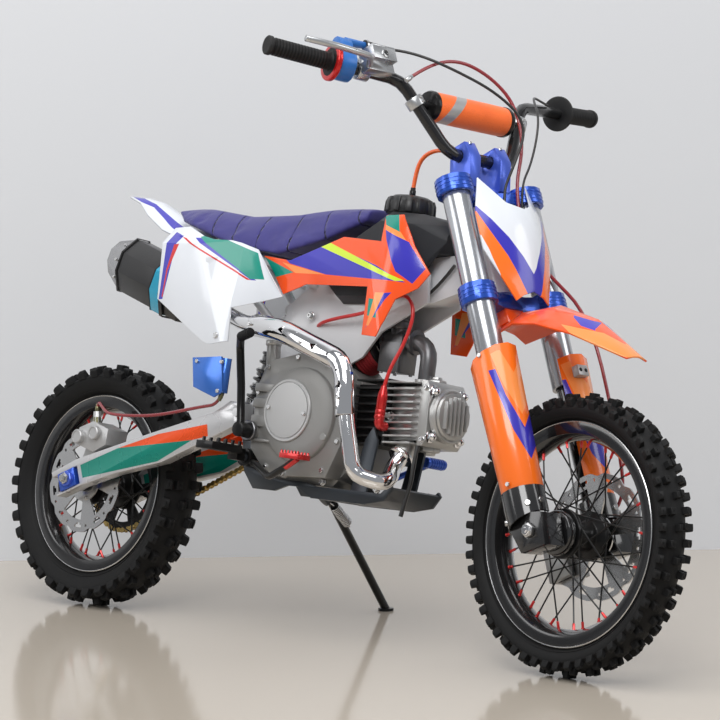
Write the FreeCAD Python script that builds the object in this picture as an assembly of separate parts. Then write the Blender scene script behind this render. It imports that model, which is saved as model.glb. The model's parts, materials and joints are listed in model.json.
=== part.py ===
"""Kids dirt bike with a 14 inch front wheel and a 12 inch rear wheel, in millimetres.

The bike is modelled upright and steering straight ahead: X forward, Y to the rider's left, Z up, with
the origin under the rear axle on the line where an upright tyre would touch. Everything that turns with
the handlebar is drawn in fork axes: F ahead of the steering axis, Y left, S up along the axis from the
level of the front axle. The last step turns the steering to its rest, leans the bike onto its side stand
and puts the origin under the middle of its box.
"""
import FreeCAD, Part
import math
import os

V = FreeCAD.Vector
X_AXIS = V(1, 0, 0)
Y_AXIS = V(0, 1, 0)
Z_AXIS = V(0, 0, 1)
ORIGIN = V(0, 0, 0)

# Chassis layout
WHEELBASE = 1175.0
RAKE = 25.0
LEG_AHEAD = 32.3
AXLE_LEAD = 23.1
LEG_HALF = 87.5
LEAN = 11.2
STEER_AT_REST = 5.3
JOINT_GAP = 0.3
FIT_GAP = 0.05

# Wheels: tip radius of the tyre, its width, the rim's flange and bead seat, and the tread's lugs
WHEELS = {
    "rear": dict(tip=235.0, width=88.0, flange=171.6, seat=154.0, rim_half=27.0, lug=12.0, rows=30),
    "front": dict(tip=243.0, width=70.0, flange=192.2, seat=175.0, rim_half=24.0, lug=11.0, rows=30),
}
TYRE_WALL = 9.0
LUG_SHARE = 0.44
LUG_TAPER = 0.12
CROWN_DROP = 15.0
RIM_SIDES = SPOKES = 36
RIM_WALL = 3.0
RIM_DROP = 15.0
SPOKE_WIDE = 2.9
SPOKE_LEAN = 60.0
SPOKE_SPREAD = 2.0
SPOKE_RIM_Y = 4.0
AXLE_R = 7.5
AXLE_BORE_R = 4.0
REAR_AXLE_HALF = 112.0
FRONT_AXLE_HALF = 124.0
HUB_R = 25.0
HUB_END_R = 18.0
HUB_FLANGE_R = 43.0
HUB_FLANGE_THICK = 5.0
REAR_FLANGE_Y = 36.0
FRONT_FLANGE_Y = 34.0
REAR_DISC_R = 98.0
FRONT_DISC_R = 110.0
DISC_THICK = 3.6
REAR_DISC_Y = -54.0
FRONT_DISC_Y = 51.0
DISC_BAND = 24.0
DISC_WAVES = 10
DISC_WINDOWS = 5
PAD_GAP = 3.0

# Final drive
CHAIN_PITCH = 12.7
REAR_TEETH = 41
FRONT_TEETH = 14
CHAIN_Y = 55.0
CHAIN_WIDE = 11.0
CHAIN_HALF_TALL = 5.6
CHAIN_WAIST = 4.0
SPROCKET_THICK = 5.0
OUTPUT_X = 474.0
OUTPUT_Z = 412.0
OUTPUT_SHAFT_R = 9.0

# Swingarm
PIVOT_X = 424.0
PIVOT_Z = 392.0
PIVOT_R = 19.0
PIVOT_BOSS_R = 21.0
PIVOT_BOLT_R = 8.0
ARM_OUT = 97.0
ARM_IN = 72.0
SLOT_TALL = 36.0
ARM_TILT = 24.0

# Frame
WEB_IN = 40.0
WEB_OUT = 46.0
CRADLE_IN = 62.0
CRADLE_OUT = 68.0
PEG_X = 452.0
PEG_Z = 312.0
PEG_BAR_R = 9.0
PEG_BAR_HALF = 100.0

# Fork and steering
TUBE_R = 25.0
TUBE_LOW_S = 288.0
RING_R = 33.5
RING_TALL = 30.0
UPPER_RING_S = 650.7
LOWER_RING_S = 443.0
STANCHION_R = 18.0
STEM_R = 14.0
HEAD_TUBE_R = 27.0
LUG_TOP_S = 74.0
LUG_LOW_S = -6.0
LUG_R = 23.0
LUG_TOP_R = 26.0
BAR_R = 11.1
BAR_F = 26.0
BAR_S = 721.0
BAR_BEND = 45.0
BAR_LOW_Y = 76.0
BAR_TOP = (20.0, 152.0, 856.0)
BAR_END = (-33.2, 405.8, 903.4)
CROSSBAR_S = 815.0
CROSSBAR_R = 8.0
PAD_R = 27.0
PAD_HALF = 98.0
GRIP_R = 16.0
GRIP_LONG = 122.0
FLANGE_R = 33.0
RISER_Y = 38.0
RISER_WIDE = 26.0

# Engine
CASE_HALF = 58.0
HUMP_HALF = 37.0
COVER_OUT = 96.0
PLATE_OUT = 107.0
CRANK_X = 560.0
CRANK_Z = 403.0
CLUTCH_R = 64.0
PLATE_R = 56.0
BORE_TILT = 3.0
CYL_START = 675.0
CYL_END = 756.0
HEAD_END = 845.0
BORE_Z = 415.0
FIN_HALF = 60.0
HEAD_FIN_HALF = 64.0
FIN_THICK = 3.2
DOME_R = 42.0
PORT_R = 20.0
PORT_DIR = (0.0, -0.6, -0.8)
PORT_END = (792.0, -43.0, 346.0)
KICK_X = 470.0
KICK_Z = 360.0

# Exhaust
PIPE_R = 15.0
SHIELD_GAP = 4.0
SHIELD_THICK = 2.0
MUFFLER_Y = -92.0
MUFFLER_TALL = 52.0
MUFFLER_WIDE = 38.0

# Side stand
STAND_PIVOT = (508.0, 86.0, 266.0)
STAND_FOOT_X = 458.0
STAND_FOOT_Y = 352.0
STAND_R = 8.0
STAND_HALF = 8.5
STAND_EYE_R = 14.0
STAND_BOLT_R = 5.0
STAND_FOOT_R = 15.0
STAND_FOOT_THICK = 5.0
STAND_FOLDED = (-1.0, 0.30, 0.10)

PANEL = 3.0


# Helpers: straight-sided solids
def box(x0, x1, y0, y1, z0, z1):
    return Part.makeBox(x1 - x0, y1 - y0, z1 - z0, V(x0, y0, z0))


def side_box(side, x0, x1, y0, y1, z0, z1):
    """A box between two distances out from the middle, on the left for 1 and the right for -1."""
    low, high = sorted((side * y0, side * y1))
    return box(x0, x1, low, high, z0, z1)


def across(direction):
    """Two unit vectors square to a direction and to each other, the first as level as can be."""
    d = V(direction)
    d.normalize()
    u = Y_AXIS - d * d.dot(Y_AXIS)
    if u.Length < 0.2:
        u = Z_AXIS - d * d.dot(Z_AXIS)
    u.normalize()
    return u, d.cross(u)


def polygon(centre, direction, r, sides, turn=0.5):
    u, v = across(direction)
    corners = []
    for k in range(sides):
        a = 2 * math.pi * (k + turn) / sides
        corners.append(centre + u * (r * math.cos(a)) + v * (r * math.sin(a)))
    return corners


def patch(corners):
    """Faces between four corners: one if they are level, else two triangles."""
    kept = [c for i, c in enumerate(corners) if (c - corners[i - 1]).Length > 1e-6]
    if len(kept) < 3:
        return []
    if len(kept) == 4:
        a, b, c, d = kept
        off = abs((b - a).cross(c - a).dot(d - a)) / ((b - a).cross(c - a).Length + 1e-9)
        if off > 1e-7:
            return patch([a, b, c]) + patch([a, c, d])
    return [Part.Face(Part.makePolygon(kept + kept[:1]))]


def skin(loops, closed=False):
    """A solid through a row of loops with the same number of corners."""
    faces = []
    count = len(loops[0])
    for i in range(len(loops) if closed else len(loops) - 1):
        a, b = loops[i], loops[(i + 1) % len(loops)]
        for j in range(count):
            k = (j + 1) % count
            faces += patch([a[j], a[k], b[k], b[j]])
    if not closed:
        faces += [Part.Face(Part.makePolygon(loop + loop[:1])) for loop in (loops[0], loops[-1])]
    return closed_solid(faces)


def closed_solid(faces):
    solid = Part.Solid(Part.makeShell(faces))
    if solid.Volume < 0:
        solid.reverse()
    return solid


def rod(p, q, r, sides=10, r_end=None):
    """A straight bar whose corners lie on the radius."""
    p, q = V(*p), V(*q)
    ends = [polygon(p, q - p, r, sides), polygon(q, q - p, r if r_end is None else r_end, sides)]
    return skin(ends)


def hole(p, q, r, sides=10):
    """A straight hole whose flats lie on the radius."""
    return rod(p, q, r / math.cos(math.pi / sides), sides)


def shaft(p, q, r):
    """A true round bar, where one piece turns or fits in another."""
    p, q = V(*p), V(*q)
    return Part.makeCylinder(r, (q - p).Length, p, q - p)


def rod_y(x, z, r, y0, y1, sides=12, r_end=None):
    return rod((x, y0, z), (x, y1, z), r, sides, r_end)


def fuse(parts):
    first = parts[0]
    if len(parts) == 1:
        return first
    return first.multiFuse(list(parts[1:])).removeSplitter()


def mirrored(shape):
    return shape.mirror(ORIGIN, Y_AXIS)


def both_sides(shape):
    return Part.makeCompound([shape, mirrored(shape)])


def side_plate(outline, y0, y1):
    """A plate whose outline is drawn from the side, as X and Z."""
    corners = [V(x, y0, z) for x, z in outline]
    return Part.Face(Part.makePolygon(corners + corners[:1])).extrude(V(0, y1 - y0, 0))


def top_plate(outline, z0, z1):
    """A plate whose outline is drawn from above, as X and Y."""
    corners = [V(x, y, z0) for x, y in outline]
    return Part.Face(Part.makePolygon(corners + corners[:1])).extrude(V(0, 0, z1 - z0))


# Helpers: bent bars, cords and moulded panels
def bend_points(points, bends, step):
    """The runs' ends with each corner replaced by a few points on its arc."""
    path = [points[0]]
    for i in range(1, len(points) - 1):
        b = points[i]
        u, w = points[i - 1] - b, points[i + 1] - b
        short = min(u.Length, w.Length)
        u.normalize()
        w.normalize()
        turn = math.pi - u.getAngle(w)
        if turn < 0.02 or bends[i] <= 0:
            path.append(b)
            continue
        r = min(bends[i], 0.45 * short / math.tan(turn / 2))
        inward = u + w
        inward.normalize()
        centre = b + inward * (r / math.cos(turn / 2))
        start = b + u * (r * math.tan(turn / 2)) - centre
        end = b + w * (r * math.tan(turn / 2)) - centre
        parts = max(1, math.ceil(math.degrees(turn) / step))
        for k in range(parts + 1):
            share = k / parts
            arm = start * math.sin((1 - share) * turn) + end * math.sin(share * turn)
            path.append(centre + arm * (1 / math.sin(turn)))
    return path + [points[-1]]


def swept(points, section, bends=0.0, step=24.0):
    """A section carried along straight runs, mitred where they meet."""
    pts = [V(*p) for p in points]
    if not isinstance(bends, (list, tuple)):
        bends = [bends] * len(pts)
    path = bend_points(pts, bends, step)
    along = [path[i + 1] - path[i] for i in range(len(path) - 1)]
    for d in along:
        d.normalize()
    u, v = across(along[0])
    loop = [path[0] + u * a + v * b for a, b in section]
    loops = [loop]
    for i in range(1, len(path)):
        d = along[i - 1]
        normal = d if i == len(path) - 1 else d + along[i]
        loop = [p + d * ((path[i] - p).dot(normal) / d.dot(normal)) for p in loop]
        loops.append(loop)
    return skin(loops)


def circle(r, sides):
    return [(r * math.cos(2 * math.pi * (k + 0.5) / sides), r * math.sin(2 * math.pi * (k + 0.5) / sides))
            for k in range(sides)]


def bent_rod(points, r, bends=0.0, sides=8, step=24.0):
    return swept(points, circle(r, sides), bends, step)


def cord(points, r, bend=18.0):
    """A held hose or cable, six-sided, along straight runs joined by tangent arcs."""
    pts = [V(*p) for p in points]
    edges = []
    start = pts[0]
    for i in range(1, len(pts)):
        if i == len(pts) - 1:
            edges.append(Part.LineSegment(start, pts[i]).toShape())
            break
        u, w = pts[i - 1] - pts[i], pts[i + 1] - pts[i]
        room = 0.45 * min(u.Length, w.Length)
        u.normalize()
        w.normalize()
        half = (math.pi - u.getAngle(w)) / 2
        radius = min(bend, room / math.tan(half))
        inward = u + w
        inward.normalize()
        a = pts[i] + u * (radius * math.tan(half))
        b = pts[i] + w * (radius * math.tan(half))
        middle = pts[i] + inward * (radius / math.cos(half) - radius)
        edges.append(Part.LineSegment(start, a).toShape())
        edges.append(Part.Arc(a, middle, b).toShape())
        start = b
    corners = polygon(pts[0], pts[1] - pts[0], r, 6)
    return Part.Wire(edges).makePipe(Part.Face(Part.makePolygon(corners + corners[:1])))


def double_skin(front, back):
    """A thin solid between two grids of points, both split along the same diagonals."""
    faces = []
    for i in range(len(front) - 1):
        for j in range(len(front[0]) - 1):
            for grid in (front, back):
                faces += patch([grid[i][j], grid[i + 1][j], grid[i + 1][j + 1], grid[i][j + 1]])

    def ring(grid):
        return (grid[0] + [row[-1] for row in grid[1:]] + grid[-1][-2::-1]
                + [row[0] for row in grid[-2:0:-1]])
    a, b = ring(front), ring(back)
    for k in range(len(a)):
        n = (k + 1) % len(a)
        faces += patch([a[k], a[n], b[n], b[k]])
    return closed_solid(faces)


def moulded_panel(outline, stations):
    """A body panel: its side outline cut from a bent wall, drawn as heights and distances out at each X."""
    outer = [[V(x, y, z) for z, y in line] for x, line in stations]
    inner = [[p - Y_AXIS * PANEL for p in row] for row in outer]
    return side_plate(outline, 0, 220).common(double_skin(outer, inner))


def arch_row(centre, up, half, drop, lower, points=5):
    """Points across the bike on an arch whose edges are lower than its crown."""
    row = []
    for k in range(points):
        share = -1 + 2 * k / (points - 1)
        row.append(centre + Y_AXIS * ((half - lower * 0.7) * share) - up * (drop * share * share + lower))
    return row


def arched(stations):
    """A thin arched shell through stations of centre, up direction, half width and edge drop."""
    return double_skin([arch_row(*s, 0.0) for s in stations], [arch_row(*s, PANEL) for s in stations])


# Where things stand
AXLE_AHEAD = LEG_AHEAD + AXLE_LEAD
REAR_AXLE = V(0, 0, WHEELS["rear"]["tip"])
FRONT_AXLE = V(WHEELBASE, 0, WHEELS["front"]["tip"])
STEER_DIR = V(-math.sin(math.radians(RAKE)), 0, math.cos(math.radians(RAKE)))
STEER_NORMAL = V(math.cos(math.radians(RAKE)), 0, math.sin(math.radians(RAKE)))
STEER_O = FRONT_AXLE - STEER_NORMAL * AXLE_AHEAD


def from_fork(shape):
    """Fork axes to bike axes, steering straight ahead."""
    shape = shape.copy()
    shape.rotate(ORIGIN, Y_AXIS, -RAKE)
    shape.translate(STEER_O)
    return shape


def fork_point(f, y, s):
    return STEER_O + STEER_NORMAL * f + STEER_DIR * s + V(0, y, 0)


def steered(shape):
    shape = shape.copy()
    shape.rotate(STEER_O, STEER_DIR, -STEER_AT_REST)
    return shape


# Tyres: a ring of straight-sided cells, some of them raised as lugs
LUG_COLUMNS = [
    # cells from the left shoulder to the right: how far out each cell's edges are, and its rows
    dict(cell="left shoulder", edges=(1.0, 0.62), rows="all"),
    dict(cell="left inner", edges=(0.62, 0.27), rows="odd"),
    dict(cell="centre", edges=(0.27, -0.27), rows="even"),
    dict(cell="right inner", edges=(-0.27, -0.62), rows="odd"),
    dict(cell="right shoulder", edges=(-0.62, -1.0), rows="all"),
]


def tyre(name):
    w = WHEELS[name]
    half = w["width"] / 2
    floor = w["tip"] - w["lug"]
    bead_half = w["rim_half"] - RIM_WALL - 0.5
    places = [LUG_COLUMNS[0]["edges"][0]] + [c["edges"][1] for c in LUG_COLUMNS]
    tread = [(floor - CROWN_DROP * p * p, p * (half - 3.0)) for p in places]
    bead = w["seat"] + 3.0
    cavity = floor - CROWN_DROP - TYRE_WALL
    rest = [(w["flange"] + 2.0, -bead_half), (bead, -bead_half), (bead, TYRE_WALL - bead_half),
            (cavity, -half + TYRE_WALL + 8.0), (cavity, half - TYRE_WALL - 8.0),
            (bead, bead_half - TYRE_WALL), (bead, bead_half), (w["flange"] + 2.0, bead_half)]
    profile = tread + rest

    def at(radius, y, angle):
        return V(radius * math.sin(angle), y, -radius * math.cos(angle))
    pitch = 2 * math.pi / w["rows"]
    angles = []
    for k in range(w["rows"]):
        angles += [(k - LUG_SHARE / 2) * pitch, (k + LUG_SHARE / 2) * pitch]
    faces = []
    for i, a0 in enumerate(angles):
        a1 = angles[(i + 1) % len(angles)]
        for j in range(len(profile)):
            p, q = profile[j], profile[(j + 1) % len(profile)]
            cell = [at(*p, a0), at(*q, a0), at(*q, a1), at(*p, a1)]
            row = i // 2
            raised = i % 2 == 0 and j < len(LUG_COLUMNS) and (
                LUG_COLUMNS[j]["rows"] == "all" or (row % 2 == 0) == (LUG_COLUMNS[j]["rows"] == "even"))
            if raised:
                faces += lug_faces(cell, w, p, q, a0, a1)
            else:
                faces += patch(cell)
    return closed_solid(faces)


def lug_faces(cell, w, p, q, a0, a1):
    """The four walls and the top of one lug that stands on a tread cell."""
    half = w["width"] / 2
    mid_y = (p[1] + q[1]) / 2
    top = []
    for (radius, y), a in ((p, a0), (q, a0), (q, a1), (p, a1)):
        end = y + (mid_y - y) * LUG_TAPER
        if abs(y) > half - 4.0:
            end = math.copysign(half, y)
        lean = (a1 - a0) * LUG_TAPER / 2
        a += lean if a == a0 else -lean
        tip = min(radius + w["lug"], w["tip"])
        if abs(y) > half - 4.0:
            tip = radius + w["lug"] * 0.6
        top.append(V(tip * math.sin(a), end, -tip * math.cos(a)))
    faces = patch(top)
    for k in range(4):
        n = (k + 1) % 4
        faces += patch([cell[k], cell[n], top[n], top[k]])
    return faces


# Rims, spokes and hubs, each drawn about the Y axis
def wire_wheel(name, flange_y, low, high):
    """Rim, hub and spokes, which stand a hair apart as their own solids."""
    w = WHEELS[name]
    seat, half = w["seat"], w["rim_half"]
    thick = RIM_WALL
    profile = [(w["flange"], -half), (w["flange"], thick - half), (seat, thick - half), (seat - 9.0, 0.0),
               (seat, half - thick), (w["flange"], half - thick), (w["flange"], half), (seat - 4.0, half),
               (seat - RIM_DROP, 0.0), (seat - 4.0, -half)]
    loops = []
    for k in range(RIM_SIDES):
        a = 2 * math.pi * (k + 0.5) / RIM_SIDES
        loops.append([V(r * math.cos(a), y, r * math.sin(a)) for r, y in profile])
    rim = skin(loops, True)
    barrel = rod_y(0, 0, HUB_R, -flange_y, flange_y)
    inner = flange_y - HUB_FLANGE_THICK
    flanges = []
    for y, turn in ((-flange_y, 0.0), (inner, 0.5)):
        ends_at = [V(0, y, 0), V(0, y + HUB_FLANGE_THICK, 0)]
        flanges.append(skin([polygon(c, Y_AXIS, HUB_FLANGE_R, SPOKES // 2, turn) for c in ends_at]))
    ends = rod_y(0, 0, HUB_END_R, low, high)
    hub = fuse([barrel, ends] + flanges).cut(shaft((0, low - 1, 0), (0, high + 1, 0), AXLE_R + FIT_GAP))
    well = seat - RIM_DROP + SPOKE_RIM_Y * (RIM_DROP - 4.0) / half
    spokes = [spoke(k, well * math.cos(math.pi / RIM_SIDES), flange_y) for k in range(SPOKES)]
    return Part.makeCompound([rim, hub] + spokes)


def spoke(k, inside, flange_y):
    """One spoke from the flat of a flange to a flat of the rim; they alternate in side and in lean."""
    side = 1 if k % 2 else -1
    lean = 1 if (k // 2) % 2 else -1
    at_rim = 2 * math.pi * k / SPOKES
    at_hub = at_rim + lean * math.radians(SPOKE_LEAN)
    start_r = HUB_FLANGE_R * math.cos(2 * math.pi / SPOKES) + JOINT_GAP + SPOKE_WIDE / 2
    y_hub = side * (flange_y - HUB_FLANGE_THICK / 2 + lean * SPOKE_SPREAD)
    end_r = inside - JOINT_GAP - SPOKE_WIDE * 0.3
    p = V(start_r * math.cos(at_hub), y_hub, start_r * math.sin(at_hub))
    q = V(end_r * math.cos(at_rim), side * SPOKE_RIM_Y, end_r * math.sin(at_rim))
    return rod(p, q, SPOKE_WIDE / math.sqrt(3), 3)


def wave_disc(radius, y):
    """Brake disc with a waved edge and a ring of windows."""
    outer = []
    for k in range(DISC_WAVES):
        for share, r in ((0.0, radius - 5.0), (0.3, radius), (0.7, radius)):
            a = 2 * math.pi * (k + share) / DISC_WAVES
            outer.append(V(r * math.cos(a), 0, r * math.sin(a)))
    plate = Part.Face(Part.makePolygon(outer + outer[:1])).extrude(V(0, DISC_THICK, 0))
    carrier = radius - DISC_BAND
    tools = [hole((0, -1, 0), (0, DISC_THICK + 1, 0), HUB_END_R + JOINT_GAP, 16)]
    for k in range(DISC_WINDOWS):
        a0 = 2 * math.pi * (k + 0.14) / DISC_WINDOWS
        a1 = 2 * math.pi * (k + 0.86) / DISC_WINDOWS
        mid = (a0 + a1) / 2
        window = [V(r * math.cos(a), -1, r * math.sin(a)) for r, a in
                  ((carrier, a0), (carrier, mid), (carrier, a1), (HUB_END_R + 20, a1 - 0.12),
                   (HUB_END_R + 14, mid), (HUB_END_R + 20, a0 + 0.12))]
        tools.append(Part.Face(Part.makePolygon(window + window[:1])).extrude(V(0, DISC_THICK + 2, 0)))
    plate = plate.cut(tools)
    plate.translate(V(0, y - DISC_THICK / 2, 0))
    return plate


def pitch_radius(teeth):
    return CHAIN_PITCH / (2 * math.sin(math.pi / teeth))


def sprocket(teeth, y, bore):
    """Sprocket whose tips stay just under the chain."""
    tip = pitch_radius(teeth) - CHAIN_HALF_TALL - 0.6
    points = []
    for k in range(2 * teeth):
        r = tip if k % 2 == 0 else tip - 4.0
        a = math.pi * k / teeth
        points.append(V(r * math.cos(a), y - SPROCKET_THICK / 2, r * math.sin(a)))
    plate = Part.Face(Part.makePolygon(points + points[:1])).extrude(V(0, SPROCKET_THICK, 0))
    return plate.cut(hole((0, y - 5, 0), (0, y + 5, 0), bore, 16))


def chain():
    """One closed loop round both sprockets, taller at every second pin."""
    big, small = pitch_radius(REAR_TEETH), pitch_radius(FRONT_TEETH)
    a, b = V(REAR_AXLE.x, 0, REAR_AXLE.z), V(OUTPUT_X, 0, OUTPUT_Z)
    span = b - a
    tilt = math.atan2(span.z, span.x)
    wrap = math.acos((big - small) / span.Length)
    up, down = tilt + wrap, tilt - wrap

    def on(c, r, angle):
        return V(c.x + r * math.cos(angle), 0, c.z + r * math.sin(angle))
    runs = [
        ("line", on(a, big, up), on(b, small, up)),
        ("arc", b, small, up, down),
        ("line", on(b, small, down), on(a, big, down)),
        ("arc", a, big, down, up - 2 * math.pi),
    ]
    lengths = [(r[2] - r[1]).Length if r[0] == "line" else abs(r[4] - r[3]) * r[2] for r in runs]
    links = 2 * round(sum(lengths) / CHAIN_PITCH / 2)
    step = sum(lengths) / links
    outer, inner = [], []
    for k in range(links):
        d = k * step
        i = 0
        while i < 3 and d > lengths[i]:
            d -= lengths[i]
            i += 1
        run = runs[i]
        if run[0] == "line":
            along = run[2] - run[1]
            along.normalize()
            p = run[1] + along * d
            out = V(-along.z, 0, along.x)
        else:
            angle = run[3] - d / run[2]
            p = on(run[1], run[2], angle)
            out = V(math.cos(angle), 0, math.sin(angle))
        tall = CHAIN_HALF_TALL if k % 2 == 0 else CHAIN_WAIST
        outer.append(p + out * tall)
        inner.append(p - out * tall)
    band = []
    for side in (-0.5, 0.5):
        shift = V(0, CHAIN_Y + side * CHAIN_WIDE, 0)
        band.append([[o + shift, i + shift] for o, i in zip(outer, inner)])
    loops = [[r[0], r[1], s[1], s[0]] for r, s in zip(*band)]
    return skin(loops, True)


# Frame
HEAD_TOP_S = UPPER_RING_S - RING_TALL / 2 - 4.0
HEAD_LOW_S = LOWER_RING_S + RING_TALL / 2 + 6.0
SPINE = [(866, 712), (884, 652), (800, 622), (700, 614), (560, 610), (560, 655), (640, 668), (800, 704)]
UPPER_WEB = [(800, 672), (806, 620), (704, 562), (668, 515), (640, 500), (574, 482), (500, 484), (466, 500),
             (462, 560), (470, 600), (540, 655)]
PIVOT_WEB = [(392, 400), (398, 342), (448, 328), (462, 376), (466, 500), (470, 600), (452, 520), (432, 440)]
RAIL = [(536, 640), (360, 692), (196, 714)]
STRUT = [(466, 540), (352, 640), (290, 690)]
RAIL_Y = 62.0
RAIL_R = 9.0
STRUT_R = 8.0


def frame():
    """Head tube, spine, twin side webs with their cross tubes, and the rear seat rails."""
    top = fork_point(0, 0, HEAD_TOP_S)
    low = fork_point(0, 0, HEAD_LOW_S)
    head = rod(low, top, HEAD_TUBE_R, 16)
    bore = shaft(low - STEER_DIR * 10, top + STEER_DIR * 10, STEM_R + FIT_GAP)
    parts = [head, side_plate(SPINE, -24, 24)]
    for side in (1, -1):
        y0, y1 = sorted((side * WEB_IN, side * WEB_OUT))
        parts.append(side_plate(UPPER_WEB, y0, y1))
        parts.append(side_plate(PIVOT_WEB, y0, y1))
        y2, y3 = sorted((side * (WEB_IN - 2), side * 56.0))
        parts.append(rod_y(PIVOT_X, PIVOT_Z, PIVOT_BOSS_R, y2, y3))
        rail = [(RAIL[0][0], side * 43, RAIL[0][1]), (RAIL[1][0], side * RAIL_Y, RAIL[1][1]),
                (RAIL[2][0], side * RAIL_Y, RAIL[2][1])]
        parts.append(bent_rod(rail, RAIL_R))
        strut = [(STRUT[0][0], side * 43, STRUT[0][1]), (STRUT[1][0], side * RAIL_Y, STRUT[1][1]),
                 (STRUT[2][0], side * RAIL_Y, STRUT[2][1])]
        parts.append(bent_rod(strut, STRUT_R))
    for x, z, r, half in ((560, 630, 12, 43), (780, 645, 12, 43), (482, 520, 9, 43), (262, 705, 7, RAIL_Y),
                          (360, 692, 7, RAIL_Y)):
        parts.append(rod((x, -half, z), (x, half, z), r))
    solid = fuse(parts).cut(bore)
    bolt = shaft((PIVOT_X, -ARM_OUT - 4, PIVOT_Z), (PIVOT_X, ARM_OUT + 4, PIVOT_Z), PIVOT_BOLT_R)
    return fuse([solid, bolt])


CRADLE_SIDE = [
    (420, 345), (434, 288), (462, 258), (516, 258), (548, 270), (575, 270), (610, 252), (740, 252),
    (786, 262), (802, 284), (796, 292), (776, 274), (620, 274), (590, 280), (520, 280), (480, 284),
    (462, 300), (458, 326), (446, 345),
]
HANGER = [(700, 258), (738, 258), (752, 366), (738, 390), (722, 366)]


def cradle():
    """Dark lower brackets with the skid pan, the engine hangers and the footpegs' bar."""
    parts = []
    for side in (1, -1):
        y0, y1 = sorted((side * CRADLE_IN, side * CRADLE_OUT))
        parts.append(side_plate(CRADLE_SIDE, y0, y1))
        y2, y3 = sorted((side * (CRADLE_IN + 0.5), side * (CRADLE_OUT - 0.5)))
        parts.append(side_plate(HANGER, y2, y3))
        y4, y5 = sorted((side * (WEB_OUT + JOINT_GAP), side * (CRADLE_IN + 1)))
        parts.append(side_plate([(424, 345), (424, 331), (444, 331), (444, 345)], y4, y5))
        y6, y7 = sorted((side * (CRADLE_IN + 1), side * (CRADLE_OUT - 1)))
        parts.append(side_plate([(423, 346), (423, 330), (445, 330), (445, 346)], y6, y7))
    pan = side_plate([(606, 252.5), (739, 252.5), (785, 262.5), (801, 284), (797, 287), (783, 266),
                      (739, 256.5), (606, 256.5)], -CRADLE_IN - 1, CRADLE_IN + 1)
    cuts = [rod((x, y, 240), (x, y, 280), r, 10) for x, y, r in ((650, 0, 15), (706, 28, 9), (706, -28, 9))]
    parts.append(pan.cut(cuts))
    parts.append(rod((PEG_X, -PEG_BAR_HALF, PEG_Z), (PEG_X, PEG_BAR_HALF, PEG_Z), PEG_BAR_R))
    return fuse(parts)


ARM_OUTLINE = [(-52, 243), (14, 275), (205, 338), (364, 388), (404, 412), (440, 410), (446, 378), (420, 366),
               (347, 333), (245, 286), (125, 256), (33, 225), (-27, 199)]


def axle_frame(shape):
    """Turned with the arms' rear ends and moved to the axle."""
    shape.rotate(ORIGIN, Y_AXIS, -ARM_TILT)
    shape.translate(REAR_AXLE)
    return shape


def swingarm():
    """Two tapered box arms, open at the axle, joined by a cross box ahead of the tyre."""
    arm = side_plate(ARM_OUTLINE, -ARM_OUT, -ARM_IN)
    slot = axle_frame(box(-80, 26, -ARM_OUT - 1, -ARM_IN + 1, -SLOT_TALL / 2, SLOT_TALL / 2))
    stub = rod_y(PIVOT_X, PIVOT_Z, PIVOT_R, -ARM_IN - 1, -56.0 - JOINT_GAP)
    arm = fuse([arm.cut(slot), stub])
    bridge = box(292, 338, -ARM_IN - 1, ARM_IN + 1, 329, 365)
    bridge.rotate(V(314, 0, 347), Y_AXIS, -20)
    clevis = [side_plate([(330, 358), (364, 380), (378, 372), (372, 360), (336, 344)], y, y + 6)
              for y in (-21, 15)]
    whole = fuse([arm, mirrored(arm), bridge] + clevis)
    bolt_room = shaft((PIVOT_X, -ARM_OUT - 9, PIVOT_Z), (PIVOT_X, ARM_OUT + 9, PIVOT_Z), PIVOT_BOLT_R + FIT_GAP)
    return whole.cut(bolt_room)


def rear_axle():
    """Hollow axle with nuts, and the chain adjusters in the arms' slots."""
    x, z = REAR_AXLE.x, REAR_AXLE.z
    parts = [shaft((x, -REAR_AXLE_HALF, z), (x, REAR_AXLE_HALF, z), AXLE_R)]
    for side in (1, -1):
        half = SLOT_TALL / 2 - JOINT_GAP
        parts.append(axle_frame(side_box(side, -26, 18, ARM_IN + 1, ARM_OUT + 3, -half, half)))
        y0, y1 = sorted((side * (ARM_OUT + 2), side * (ARM_OUT + 11)))
        parts.append(rod_y(x, z, 12, y0, y1, 6))
    return fuse(parts).cut(shaft((x, -REAR_AXLE_HALF - 1, z), (x, REAR_AXLE_HALF + 1, z), AXLE_BORE_R))


SHOCK_LOW = V(366, 0, 372)
SHOCK_TOP = V(440, 0, 596)
COIL_R = 25.0
COILS = 5


def shock():
    """Rear damper with its spring, between the swingarm's cross box and the frame."""
    along = SHOCK_TOP - SHOCK_LOW
    long = along.Length
    along.normalize()

    def at(d):
        return SHOCK_LOW + along * d
    parts = [rod(at(0), at(long), 7, 10), rod(at(long * 0.55), at(long - 14), 17), rod(at(34), at(190), 20)]
    for k in range(COILS):
        parts.append(rod(at(40 + 30 * k), at(52 + 30 * k), COIL_R))
    for x, z in ((SHOCK_LOW.x, SHOCK_LOW.z), (SHOCK_TOP.x, SHOCK_TOP.z)):
        parts.append(rod((x, -14.7, z), (x, 14.7, z), 10, 10))
    return fuse(parts)


# Engine
CASE = [(470, 330), (470, 470), (640, 470), (690, 460), (690, 320), (650, 276), (510, 276)]
HUMP = [(478, 468), (490, 498), (570, 506), (640, 494), (672, 466)]
COVER = [(470, 330), (466, 440), (486, 490), (560, 508), (640, 500), (684, 452), (690, 350), (664, 290),
         (520, 284)]
LEFT_COVER = [(500, 384), (514, 470), (620, 480), (660, 430), (650, 340), (600, 306), (530, 312)]


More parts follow.
